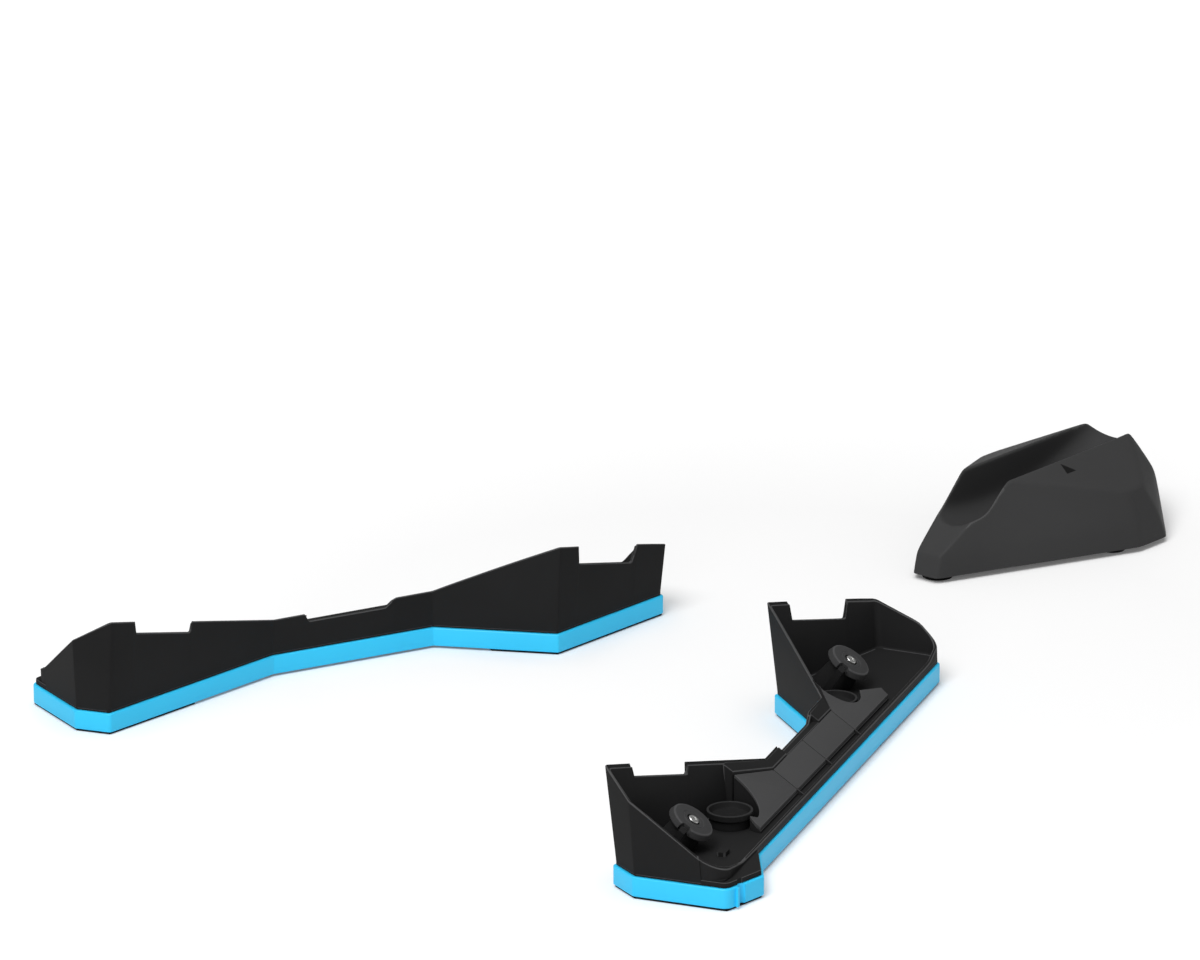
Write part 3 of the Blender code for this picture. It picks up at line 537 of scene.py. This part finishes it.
def leaning_wall():
    """Rings at every station: up the outside, over a rounded top, down the inside to a foot fillet.

    A share of 0 is the wall's outer face and 1 its inner face, at any height. Below the fillet a
    tongue reaches past the inner face and joins the tray's floor.
    """
    outside = [wall_plan(height, 0.0) for height in (SKIRT, SKIRT + TALL)]
    inside = [wall_plan(height, WALL) for height in (SKIRT, SKIRT + TALL)]
    tops = wall_top(0.0), wall_top(WALL)

    def at(share, height):
        height = height + np.zeros(len(edge_of))
        part = ((height - SKIRT) / TALL)[:, None]
        outer = outside[0] + (outside[1] - outside[0]) * part
        inner = inside[0] + (inside[1] - inside[0]) * part
        return np.column_stack((outer + (inner - outer) * share, height))

    rings = [at(0.0, SKIRT), at(0.0, SKIRT + 0.4)]
    angles = np.radians(np.linspace(0, 90, 5))
    for angle in angles:
        rings.append(at(WALL_EDGE * (1 - cos(angle)) / WALL, tops[0] - WALL_EDGE * (1 - sin(angle))))
    for angle in angles[::-1]:
        rings.append(at(1 - WALL_EDGE * (1 - cos(angle)) / WALL, tops[1] - WALL_EDGE * (1 - sin(angle))))
    for angle in np.radians(np.linspace(0, 80, 5)):
        height = np.minimum(FLOOR + FOOT_FILLET * (1 - sin(angle)), tops[1] - WALL_EDGE)
        rings.append(at(1 + FOOT_FILLET * (1 - cos(angle)) / WALL, height))
    rings += [at(TONGUE, TONGUE_TOP), at(TONGUE, TONGUE_LOW), at(1.0, TONGUE_LOW), at(1.0, SKIRT)]
    return np.array(rings)


def dress_tray(piece, side):
    """Dresses a piece that belongs to the tray's own moulding."""
    dress(piece, black_plastic, f"{side}_carriage", [f"{side}_tray"])


# The tray's convex edge faces take a painted highlight, four times lighter than the black.
black_plastic = moulded_plastic("black_plastic", (0.0175, 0.0175, 0.0178), roughness=0.48, grain=0.28,
                                grain_size=0.55, gloss_level=0.03, variation=0.10, edge_light=4.0)
wall = leaning_wall()
for side in SIDES:
    dress_tray(plate_piece(f"{side}_tray_wall", wall, side, smooth=35, close_rings=True), side)

# The tray's floor closes the wall below, on a thin flange that also fills the proud outer corner.
# Floor, flange and wall are one moulding; the flange hangs close over the base's deck all round.
FLOOR_THICK = 2.4
FLOOR_INSET = WALL + TRAY_INSET - 1.6
FLOOR_RADII = [8, 3, 3, 3, 3, 3, 4, 7]
FLANGE_LOW = BASE_TOP + 0.5
FLANGE_TOP = SKIRT + 3.0
FLANGE_INSET = TRAY_INSET + 0.1
FLANGE_EDGE = 0.4
for side in SIDES:
    levels = [(FLOOR_INSET, FLOOR - FLOOR_THICK), (FLOOR_INSET, FLOOR)]
    rings = rings_of(levels, PLATE_CORNERS, FLOOR_RADII, steps=3)
    dress_tray(plate_piece(f"{side}_tray_floor", rings, side, smooth=30), side)
    levels = [(FLANGE_INSET, FLANGE_LOW)]
    levels += edge_round(FLANGE_INSET + FLANGE_EDGE, FLANGE_TOP - FLANGE_EDGE, FLANGE_EDGE, 0, 90, steps=3)
    rings = rings_of(levels, base_plan, PLATE_RADII, steps=8)
    flange = plate_piece(f"{side}_tray_flange", rings, side, smooth=30)
    cut_away(flange, groove, "corner_groove", side)
    dress_tray(flange, side)

# The bed slopes up towards the inner side. Round bays at both ends leave room for the cups, a border
# runs along the inner walls, and thin ribs cross the gutter beside the rim.
REAR_BAY = (16.0, 50.0, 33.5)
FRONT_BAY = (299.0, 50.0, 28.0)
JOINTS = (100.0, 175.0, 251.0)
PANEL_OUTER = 10.7
PANEL_INNER = 31.0
PANEL_THICK = 2.5
BED_FOOT = FLOOR - 1.0
SEAT_DROP = PANEL_THICK + 0.3
SEAT_INNER = 33.0
SEAT_EDGE = 0.3
SEAT_BAY_GAP = 0.5
BORDER_FOOT = PANEL_INNER + 0.4
BORDER_RISE = 1.5
BORDER_EDGE = 0.6
SLOT_ENDS = (135.0, 219.0)
LEDGE_TOP = 44.0
LEDGE_OVERLAP = 3.0
GUTTER = (3.2, 11.2)
GUTTER_RIB = (0.1, 1.5)
GUTTER_RIB_DROP = 0.1


def bay_arc(bay, start, end, steps=28, gap=0.0):
    """Points on a bay's circle, a gap outside it, from one angle in degrees to another."""
    angle = np.radians(np.linspace(start, end, steps + 1))
    radius = bay[2] + gap
    return np.column_stack((bay[0] + radius * np.cos(angle), bay[1] + radius * np.sin(angle)))


def wall_middle(along, height):
    """Inward place of the inner walls' middle at a height, where they lean outwards."""
    low, high = (inset_plan(PLATE_CORNERS, TRAY_INSET + WALL / 2 - LEANS * lift)[2:6] for lift in (0, TALL))
    near, far = (np.interp(along, line[:, 0], line[:, 1]) for line in (low, high))
    return near + (far - near) * (height - SKIRT) / TALL


def block_under(name, outline, drop, side, edge, thick=None, walled=False):
    """A block whose top is the bed's slope, lowered by drop, with a small edge round.

    It stands on the tray's floor, or has the given thickness and a bottom along the slope.
    A walled block ends in the middle of the leaning wall, at its foot and at its top.
    """
    outline = np.array(outline, float)
    foot_plan = outline.copy()
    if walled:
        for _ in range(4):
            height = bed_height(outline[:, 1]) - drop
            outline[:, 1] = np.minimum(foot_plan[:, 1], wall_middle(outline[:, 0], height))
        foot_plan[:, 1] = np.minimum(foot_plan[:, 1], wall_middle(outline[:, 0], BED_FOOT))
    along = unit(np.roll(outline, -1, 0) - np.roll(outline, 1, 0))
    inward = np.column_stack((along[:, 1], -along[:, 0]))
    foot = np.full(len(outline), BED_FOOT) if thick is None else bed_height(outline[:, 1]) - thick
    rings = [np.column_stack((foot_plan, foot))]
    for angle in np.radians((0, 30, 60, 90)):
        moved = outline + inward * edge * (1 - cos(angle))
        rings.append(np.column_stack((moved, bed_height(moved[:, 1]) - drop - edge * (1 - sin(angle)))))
    return plate_piece(name, np.array(rings), side, smooth=30)


seat_rear_end = [(6.2, PANEL_OUTER - 0.5), (6.9, 15.2), (10.3, 20.7)]
seat_front_end = [(345.0, 17.4), (343.0, PANEL_OUTER - 0.5)]
seat_outline = np.concatenate((seat_front_end, seat_rear_end,
                               bay_arc(REAR_BAY, -88, -4, gap=SEAT_BAY_GAP),
                               [(102.0, SEAT_INNER), (250.0, SEAT_INNER)],
                               bay_arc(FRONT_BAY, 188, 306, gap=SEAT_BAY_GAP)))
slot_rear, slot_front = SLOT_ENDS
rear_border = np.concatenate(([(slot_rear, BORDER_FOOT), (100.0, BORDER_FOOT), (48.9, 48.7)],
                              bay_arc(REAR_BAY, -1, 12, steps=6),
                              [(54.0, 57.6), (80.0, 48.6), (104.0, 40.6), (slot_rear, 40.9)]))
front_border = np.concatenate(([(250.7, BORDER_FOOT), (slot_front, BORDER_FOOT), (slot_front, 41.5),
                                (255.4, 41.8), (266.0, 51.0), (271.5, 57.0)],
                               bay_arc(FRONT_BAY, 172, 186, steps=6)))
ledge_rear, ledge_front = slot_rear - LEDGE_OVERLAP, slot_front + LEDGE_OVERLAP
ledge = [(ledge_front, BORDER_FOOT), (ledge_rear, BORDER_FOOT), (ledge_rear, 39.4), (ledge_front, 39.6)]
for side in SIDES:
    dress_tray(block_under(f"{side}_bed_seat", seat_outline, SEAT_DROP, side, SEAT_EDGE), side)
    for end, outline in (("rear", rear_border), ("front", front_border)):
        border = block_under(f"{side}_{end}_border", outline, -BORDER_RISE, side, BORDER_EDGE, walled=True)
        dress_tray(border, side)
    levels = [(0.0, BED_FOOT)]
    levels += edge_round(BORDER_EDGE, LEDGE_TOP - BORDER_EDGE, BORDER_EDGE, 0, 90, steps=3)
    rings = rings_of(levels, ledge, 1.0, steps=3)
    rings[..., 1] = np.minimum(rings[..., 1], wall_middle(rings[..., 0], rings[..., 2]))
    dress_tray(plate_piece(f"{side}_slot_ledge", rings, side, smooth=30), side)
    for number, joint in enumerate(JOINTS, 1):
        near, far = joint + GUTTER_RIB[0], joint + GUTTER_RIB[1]
        outline = [(near, GUTTER[0]), (near, GUTTER[1]), (far, GUTTER[1]), (far, GUTTER[0])]
        rib = block_under(f"{side}_gutter_rib_{number}", outline, GUTTER_RIB_DROP, side, SEAT_EDGE)
        dress_tray(rib, side)

# Four dark grey pad panels lie side by side on the bed, flush with its border's foot.
# They are matt moulded pads with softened edges and a hairline joint between each pair.
HALF_JOINT = 0.9
PAD_EDGE = 0.35


def middle_pad(start, end):
    """A rectangle between two joints, clear of each by half a joint's width."""
    near, far = start + HALF_JOINT, end - HALF_JOINT
    return [(near, PANEL_INNER), (far, PANEL_INNER), (far, PANEL_OUTER), (near, PANEL_OUTER)]


# The pads' convex edge faces take a painted highlight, 1.4 times lighter.
pad_grey = moulded_plastic("pad_grey", (0.062, 0.062, 0.063), roughness=0.62, grain=0.35, grain_size=0.7,
                           gloss_level=0.05, variation=0.06, edge_light=1.4)
first, second, third = JOINTS
rear_pad = np.concatenate(([(first - HALF_JOINT, PANEL_INNER), (first - HALF_JOINT, PANEL_OUTER),
                            (6.8, PANEL_OUTER), (6.9, 15.2), (10.3, 20.7)], bay_arc(REAR_BAY, -88, -5)))
front_pad = np.concatenate(([(third + HALF_JOINT, PANEL_OUTER), (third + HALF_JOINT, PANEL_INNER)],
                            bay_arc(FRONT_BAY, 187, 304), [(344.3, 17.4), (342.2, PANEL_OUTER)]))
pad_outlines = [rear_pad, middle_pad(first, second), middle_pad(second, third), front_pad]
for side in SIDES:
    for number, outline in enumerate(pad_outlines, 1):
        pad = block_under(f"{side}_pad_{number}", outline, 0.0, side, PAD_EDGE, PANEL_THICK)
        dress(pad, pad_grey, f"{side}_carriage", [f"{side}_panel_{number}"])

# Round stepped cups hide the guide pins' screws. Each is a black moulding with a raised thin lip
# and a shallow dish.
CUP_PLACES = {"rear": (17.0, 40.0), "front": (299.0, 43.0)}
cup_profile = [(0.05, 24.8), (16.6, 24.8), (16.6, 31.2), (17.2, 31.8), (18.7, 33.2), (18.7, 37.4),
               (18.5, 37.8), (18.1, 38.0), (17.2, 38.0), (16.8, 37.8), (16.6, 37.4), (15.4, 34.4),
               (14.6, 33.4), (13.6, 33.0), (5.0, 32.8), (4.0, 32.3), (0.05, 32.3)]


def leaned(name, rings, place, side, lean, smooth, close_rings=False):
    """Rings about the origin, turned by lean about the plate's length and moved to a place."""
    along, inward, up = np.moveaxis(rings, -1, 0)
    points = np.stack((along, inward * cos(lean) - up * sin(lean), inward * sin(lean) + up * cos(lean)), -1)
    return plate_piece(name, points + np.array(place, float), side, smooth, close_rings)


def turned_rings(profile, sides, most=np.inf):
    """A profile of (radius, height) turned about its own axis, with no radius above most."""
    angle = np.linspace(0, 2 * np.pi, sides, endpoint=False)
    radius, height = np.array(profile, float).T[:, :, None]
    radius = np.minimum(radius, most * np.ones(sides))
    return np.stack((radius * np.cos(angle), radius * np.sin(angle), height + np.zeros(sides)), -1)


# The cups' convex edge faces take a painted highlight, twice as light.
cup_black = moulded_plastic("cup_black", (0.0150, 0.0150, 0.0153), roughness=0.5, grain=0.2,
                            grain_size=0.6, gloss_level=0.03, variation=0.08, edge_light=2.0)
cup_rings = turned_rings(cup_profile, sides=72)
for side in SIDES:
    for end, spot in CUP_PLACES.items():
        cup = leaned(f"{side}_{end}_dish_cup", cup_rings, (*spot, 0.0), side, lean=0.0, smooth=25)
        dress(cup, cup_black, f"{side}_carriage", [f"{side}_{end}_cup"])

# An adjuster disc turns on a leaning post in each pocket of the trays. It is a grey moulding with a
# bevelled rim and an index notch, held by a bright domed bolt.
DISC_PLACES = {"rear": (-45.0, 49.0), "front": (361.0, 49.0)}
DISC_TOP = 50.0
DISC_RADIUS = 19.8
DISC_NOTCH = 5.2
DISC_SIDES = 96
disc_profile = [(5.9, -2.6), (5.9, -0.3), (6.2, 0.0), (9.0, 0.05), (9.2, -0.2), (9.5, -0.2), (9.7, 0.05),
                (DISC_RADIUS - 3.2, -0.1), (DISC_RADIUS - 2.2, -0.35), (DISC_RADIUS - 1.6, -0.9),
                (DISC_RADIUS - 0.9, -2.8), (DISC_RADIUS - 0.1, -5.2), (DISC_RADIUS - 0.5, -5.9),
                (DISC_RADIUS - 1.0, -6.0), (3.4, -6.0), (3.4, -2.6)]
bolt_profile = [(0.05, -16.0), (3.0, -16.0), (3.0, -2.3), (4.5, -2.3), (4.5, 0.1), (4.1, 0.6),
                (3.0, 0.9), (2.2, 0.9), (2.0, 0.4), (0.05, 0.4)]


def notched_rim(sides):
    """The disc's radius at each angle, less the index notch that lies towards the rear."""
    angle = np.linspace(0, 2 * np.pi, sides, endpoint=False)
    inside = (DISC_NOTCH / DISC_RADIUS - np.abs(angle - np.pi)) / 0.03
    return DISC_RADIUS - DISC_NOTCH * np.clip(inside, 0, 1)


# The discs' convex edge faces take a painted highlight, 1.5 times lighter.
disc_grey = moulded_plastic("disc_grey", (0.044, 0.044, 0.045), roughness=0.5, grain=0.25, grain_size=0.6,
                            gloss_level=0.06, variation=0.08, edge_light=1.5)
bright_bolt = turned_steel("bright_bolt")
disc_rings = turned_rings(disc_profile, DISC_SIDES, most=notched_rim(DISC_SIDES))
bolt_rings = turned_rings(bolt_profile, sides=48)
for side in SIDES:
    for end, spot in DISC_PLACES.items():
        place = (*spot, DISC_TOP)
        disc = leaned(f"{side}_{end}_adjuster", disc_rings, place, side, BED_LEAN, smooth=25,
                      close_rings=True)
        dress(disc, disc_grey, f"{side}_{end}_disc_body", [f"{side}_{end}_disc"])
        bolt = leaned(f"{side}_{end}_bolt", bolt_rings, place, side, BED_LEAN, smooth=25)
        dress(bolt, bright_bolt, f"{side}_carriage", [f"{side}_{end}_disc_bolt"])

# A leaning post under each disc rises from the tray's floor in the same moulding, and a lug with a
# bent finger points into the disc's notch. The rear pocket also has a small stub on its floor.
LUG_HALF = 2.8
STUB_RISE = 3.5
post_profile = [(0.05, -40.0), (17.6, -40.0), (13.2, -6.9), (12.6, -6.3), (3.3, -6.3), (3.3, -16.6),
                (0.05, -16.6)]
lug_side = [(-8, -45), (-4, -45), (-4, -4), (0.5, -4), (0.5, -1), (-3, 0.5), (-8, -1.5)]
stub_plan = rounded_plan([(-54, 19.6), (-54, 27.1), (-42, 27.1), (-42, 19.6)], 1.6)
under_floor = prism_points([(-150, -50), (-150, 150), (500, 150), (500, -50)], -60, FLOOR - 0.5)
post_rings = turned_rings(post_profile, sides=48)
lug_rings = np.array([[(x - DISC_RADIUS, y, z) for x, z in lug_side] for y in (-LUG_HALF, LUG_HALF)])
for side in SIDES:
    for end, spot in DISC_PLACES.items():
        for part, rings in (("post", post_rings), ("lug", lug_rings)):
            piece = leaned(f"{side}_{end}_{part}", rings, (*spot, DISC_TOP), side, BED_LEAN, smooth=30)
            cut_away(piece, under_floor, f"{part}_ground", side)
            dress_tray(piece, side)
    rings = prism_points(stub_plan, BED_FOOT, FLOOR + STUB_RISE)
    dress_tray(plate_piece(f"{side}_stub", rings, side, smooth=30), side)

# The riser is a faceted charcoal moulding, open below, that stands ahead of the plates on three
# rubber feet. A round-bottomed channel in its top follows the front wheel; every edge is softened.
RISER_X = 241.08
RISER_SHELL = 3.0
RISER_LOW = 5.0
RISER_CORNERS = [(0.0, 12.0, 5.0), (3.0, 15.1, 5.0), (5.7, 14.2, 24.3), (188.3, 99.5, 5.0),
                 (228.3, 99.5, 5.0), (188.3, 96.0, 25.0), (221.3, 96.5, 25.0), (280.0, 57.0, 5.0),
                 (285.3, 28.0, 5.0), (188.9, 83.4, 53.8), (212.6, 82.8, 53.9), (268.3, 56.0, 50.0),
                 (87.6, 26.3, 77.9), (271.2, 23.1, 79.3), (285.3, 25.0, 62.0)]
CHANNEL_LOWEST = (125.9, 31.6)
CHANNEL_BEND = 680.0
CHANNEL_HALF = 23.0
CHANNEL_FLARE = 3.5 / 118
CHANNEL_ROUND = 26.0
FACET_SOFT = 0.75
CHANNEL_SOFT = 1.2
LIP_SOFT = 0.9


def soft_max(values, softness):
    """Largest of the values along the last axis, rounded off over about the given length."""
    top = values.max(-1)
    return top + softness * np.log(np.exp((values - top[..., None]) / softness).sum(-1))


def facet_planes(corners):
    """Outward normals and offsets of the hull round the corners and their mirror images."""
    shape = bmesh.new()
    for x, y, z in corners:
        for turned_y in {y, -y}:
            shape.verts.new((x, turned_y, z))
    bmesh.ops.convex_hull(shape, input=shape.verts)
    bmesh.ops.recalc_face_normals(shape, faces=shape.faces)
    planes = {tuple(np.round((*f.normal, f.normal.dot(f.verts[0].co)), 3)) for f in shape.faces}
    shape.free()
    planes = np.array(sorted(planes))
    return planes[planes[:, 2] > -0.9]


planes = facet_planes(RISER_CORNERS)


def riser_depth(points, inset):
    """Signed distance to the riser's skin: outside its soft facets or inside the wheel's channel.

    The channel's lowest line is a parabola. Below its round the bottom is an arc across, and above
    it the walls stand and flare a little.
    """
    x, y, z = np.moveaxis(points, -1, 0)
    facets = soft_max(points @ planes[:, :3].T - planes[:, 3], FACET_SOFT) + inset
    low = CHANNEL_LOWEST[1] + (x - CHANNEL_LOWEST[0]) ** 2 / CHANNEL_BEND
    wall = np.abs(y) - CHANNEL_HALF - CHANNEL_FLARE * (z - low)
    centre = low + CHANNEL_ROUND
    bottom = np.where(z < centre, np.hypot(y, z - centre), np.abs(y)) - CHANNEL_ROUND
    channel = soft_max(np.stack((wall, bottom), -1), CHANNEL_SOFT) - inset
    return soft_max(np.stack((facets, -channel), -1), LIP_SOFT)


def outermost(start, direction, inset, reach=200.0, strides=50):
    """How far along each direction the skin lies from its start: strides first, then halvings."""
    spots = np.linspace(0, reach, strides + 1)
    trail = start[..., None, :] + direction[..., None, :] * spots[:, None]
    stride = np.argmax(riser_depth(trail, inset) > 0, axis=-1)
    near, far = spots[np.maximum(stride - 1, 0)], spots[stride]
    for _ in range(24):
        middle = (near + far) / 2
        outside = riser_depth(start + direction * middle[..., None], inset) > 0
        near, far = np.where(outside, near, middle), np.where(outside, middle, far)
    return near


def riser_section(x, inset, count=120, rays=700):
    """Half a cross-section, from its low outer edge over the shoulder to the channel's middle.

    Rays from a centre under the shoulder, further out in a wide section, find the skin. Points are
    then spaced evenly along it.
    """
    foot = np.array([[x, 0.0, RISER_LOW]])
    wide = float(outermost(foot, np.array([[0.0, 1.0, 0.0]]), inset)[0])
    high = float(outermost(foot, np.array([[0.0, 0.0, 1.0]]), inset)[0])
    aside = np.interp(wide, [0, 34, 39, 60, 100], [0, 17, 28, 33, 46])
    centre = np.array([x, aside, RISER_LOW + high * 0.3])
    first = np.arctan2(RISER_LOW - centre[2], wide - centre[1])
    last = np.arctan2(RISER_LOW + high - centre[2], -centre[1])
    angle = np.linspace(first, last, rays)
    direction = np.stack((np.zeros(rays), np.cos(angle), np.sin(angle)), 1)
    curve = centre + direction * outermost(np.tile(centre, (rays, 1)), direction, inset)[:, None]
    curve[0] = x, wide, RISER_LOW
    curve[-1] = x, 0.0, RISER_LOW + high
    run = np.append(0, np.cumsum(np.linalg.norm(np.diff(curve, axis=0), axis=1)))
    spots = np.linspace(0, run[-1], count)
    return np.column_stack([np.interp(spots, run, curve[:, k]) for k in range(3)])


def both_halves(half):
    """A half section and its mirror image, which share the channel's middle point."""
    return np.concatenate((half, half[..., -2::-1, :] * (1, -1, 1)), -2)


def riser_skin(inset, sections=140, middle=150.0):
    """The skin between the nose and the front face, its sections crowded towards both ends."""
    start = np.array([[middle, 0.0, RISER_LOW]])
    nose = middle - float(outermost(start, np.array([[-1.0, 0.0, 0.0]]), inset)[0]) + 0.02
    front = middle + float(outermost(start, np.array([[1.0, 0.0, 0.0]]), inset)[0]) - 0.02
    share = np.linspace(0, 1, sections)
    share = share - 0.11 * np.sin(2 * np.pi * share)
    near_end = np.array([0.0003, 0.001, 0.0022])
    share = np.sort(np.concatenate((share, near_end, 1 - near_end)))
    return both_halves(np.array([riser_section(nose + (front - nose) * s, inset) for s in share]))


def open_skin_faces(shape, start):
    """Quads over a grid of sections and one face over each end section, and the grid's low border."""
    rows, columns = shape[:2]
    index = np.arange(rows * columns).reshape(rows, columns) + start
    quads = np.stack((index[:-1, :-1], index[:-1, 1:], index[1:, 1:], index[1:, :-1]), -1)
    border = np.concatenate((index[:, 0], index[::-1, -1]))
    return quads.reshape(-1, 4).tolist() + [index[0].tolist(), index[-1].tolist()], border


def riser_piece(name, points, faces, smooth):
    """A mesh of points in the riser's own millimetres, dressed as part of its moulding."""
    piece = mesh_of(name, (points + (RISER_X, 0, 0)) * MM, faces, smooth)
    dress(piece, charcoal_plastic, "floor_set", ["riser_body"])


# The riser's convex edge faces take a painted highlight, 1.5 times lighter.
charcoal_plastic = moulded_plastic("charcoal_plastic", (0.043, 0.043, 0.0435), roughness=0.5, grain=0.30,
                                   grain_size=0.6, gloss_level=0.08, variation=0.06, edge_light=1.5)
outer, inner = riser_skin(0.0), riser_skin(RISER_SHELL)
outer_faces, outer_border = open_skin_faces(outer.shape, 0)
inner_faces, inner_border = open_skin_faces(inner.shape, outer.shape[0] * outer.shape[1])
rim = np.stack((outer_border, np.roll(outer_border, -1), np.roll(inner_border, -1), inner_border), 1)
skin = np.concatenate((outer.reshape(-1, 3), inner.reshape(-1, 3)))
riser_piece("riser_shell", skin, outer_faces + inner_faces + rim.tolist(), smooth=50)

# Three cross ribs stiffen the shell inside, and a boss over each foot takes the foot's stem.
# They belong to the same moulding.
RISER_RIBS = (70.0, 150.0, 225.0)
RISER_RIB_HALF = 1.0
RISER_RIB_LOW = 14.0
RISER_BOSSES = [(19.0, 0.0), (180.0, 74.0), (180.0, -74.0)]
BOSS_RADIUS = 8.0
BOSS_SIDES = 48
SHELL_TUCK = 0.6
UPWARD = [0.0, 0.0, 1.0]
for number, x in enumerate(RISER_RIBS, 1):
    ring = both_halves(riser_section(x, RISER_SHELL - SHELL_TUCK))
    ring[:, 2] = np.maximum(ring[:, 2], RISER_RIB_LOW)
    rings = np.array([ring + (shift, 0, 0) for shift in (RISER_RIB_HALF, -RISER_RIB_HALF)])
    riser_piece(f"riser_rib_{number}", rings, ring_faces(2, len(ring)), smooth=30)
for number, place in enumerate(RISER_BOSSES, 1):
    foot = np.column_stack((circle(place, BOSS_RADIUS, BOSS_SIDES), np.full(BOSS_SIDES, RISER_LOW)))
    rise = outermost(foot, np.tile(UPWARD, (BOSS_SIDES, 1)), RISER_SHELL - SHELL_TUCK)
    rings = np.array([foot + (0, 0, 0.1), foot + rise[:, None] * UPWARD])
    riser_piece(f"riser_boss_{number}", rings, ring_faces(2, BOSS_SIDES), smooth=30)

# A small plain triangle is printed in black on the riser's right shoulder.
# Its tip points towards the channel.
MARK_CORNERS = np.array([(160.0, -29.6), (166.8, -41.7), (153.9, -41.7)])
MARK_SUNK = 0.6
MARK_PROUD = 0.15
INSIDE_HEIGHT = 40.0
inside_shell = np.column_stack((MARK_CORNERS, np.full(3, INSIDE_HEIGHT)))
rise = outermost(inside_shell, np.tile(UPWARD, (3, 1)), 0.0)
rings = np.array([inside_shell + (rise + lift)[:, None] * UPWARD for lift in (-MARK_SUNK, MARK_PROUD)])
mark_black = moulded_plastic("mark_black", (0.006, 0.006, 0.006), roughness=0.6, grain=0.1, grain_size=0.6,
                             gloss_level=0.1, variation=0.1)
mark = mesh_of("riser_mark", (rings + (RISER_X, 0, 0)) * MM, ring_faces(2, 3), smooth=30)
dress(mark, mark_black, "floor_set", ["riser_body"])

# The set stands on plain pale paper, under two large soft lamps and a small low one.
# The paper whitens with distance from the set, so that it meets the white surround without an edge.
PAPER_LOW = -0.0001
PAPER_HALF = 14
floor_mesh = bpy.data.meshes.new("studio_floor")
paper_corners = [(-PAPER_HALF, -PAPER_HALF), (PAPER_HALF, -PAPER_HALF), (PAPER_HALF, PAPER_HALF),
                 (-PAPER_HALF, PAPER_HALF)]
floor_mesh.from_pydata([(x, y, PAPER_LOW) for x, y in paper_corners], [], [(0, 1, 2, 3)])
studio_floor = bpy.data.objects.new("studio_floor", floor_mesh)
bpy.context.collection.objects.link(studio_floor)
paper = bpy.data.materials.new("white_paper")
paper.use_nodes = True
paper_nodes, paper_links = paper.node_tree.nodes, paper.node_tree.links
sheet_shader = paper_nodes["Principled BSDF"]
sheet_shader.inputs["Base Color"].default_value = (0.86, 0.86, 0.86, 1)
sheet_shader.inputs["Roughness"].default_value = 0.9
seen = paper_nodes.new("ShaderNodeLightPath")
glow = paper_nodes.new("ShaderNodeMath")
glow.operation = "MULTIPLY"
spread = paper_nodes.new("ShaderNodeTexCoord")
reach = paper_nodes.new("ShaderNodeVectorMath")
reach.operation = "LENGTH"
whiter = paper_nodes.new("ShaderNodeMapRange")
whiter.inputs["From Min"].default_value = 0.40
whiter.inputs["From Max"].default_value = 1.9
whiter.inputs["To Min"].default_value = 0.10
whiter.inputs["To Max"].default_value = 0.60
paper_links.new(spread.outputs["Object"], reach.inputs[0])
paper_links.new(reach.outputs["Value"], whiter.inputs["Value"])
paper_links.new(whiter.outputs["Result"], glow.inputs[1])
paper_links.new(seen.outputs["Is Camera Ray"], glow.inputs[0])
sheet_shader.inputs["Emission Color"].default_value = (1, 1, 1, 1)
paper_links.new(glow.outputs["Value"], sheet_shader.inputs["Emission Strength"])
floor_mesh.materials.append(paper)

# The surround is plain white to the camera and lights the set evenly, at a lower level.
world = bpy.data.worlds.new("studio")
bpy.context.scene.world = world
world.use_nodes = True
world_nodes, world_links = world.node_tree.nodes, world.node_tree.links
backdrop = world_nodes["Background"]
path = world_nodes.new("ShaderNodeLightPath")
shown = world_nodes.new("ShaderNodeMath")
shown.operation = "MAXIMUM"
world_links.new(path.outputs["Is Camera Ray"], shown.inputs[0])
world_links.new(path.outputs["Is Transmission Ray"], shown.inputs[1])
level = world_nodes.new("ShaderNodeMapRange")
level.inputs["To Min"].default_value = 0.27
level.inputs["To Max"].default_value = 1.0
world_links.new(shown.outputs["Value"], level.inputs["Value"])
world_links.new(level.outputs["Result"], backdrop.inputs["Strength"])
backdrop.inputs["Color"].default_value = (1, 1, 1, 1)


def soft_box(name, place, size, power):
    """A square area lamp at a place, turned towards the set's origin."""
    lamp = bpy.data.lights.new(name, "AREA")
    lamp.size = size
    lamp.energy = power
    holder = bpy.data.objects.new(name, lamp)
    holder.location = place
    holder.rotation_euler = (-holder.location).to_track_quat("-Z", "Y").to_euler()
    bpy.context.collection.objects.link(holder)


soft_box("overhead", (-0.3, -0.2, 4.2), 3.6, 84)
soft_box("rear_key", (-4.2, -0.9, 5.6), 3.0, 250)
soft_box("low_fill", (-3.5, -1.7, 1.0), 1.4, 16)

bpy.context.scene.view_settings.view_transform = "Standard"
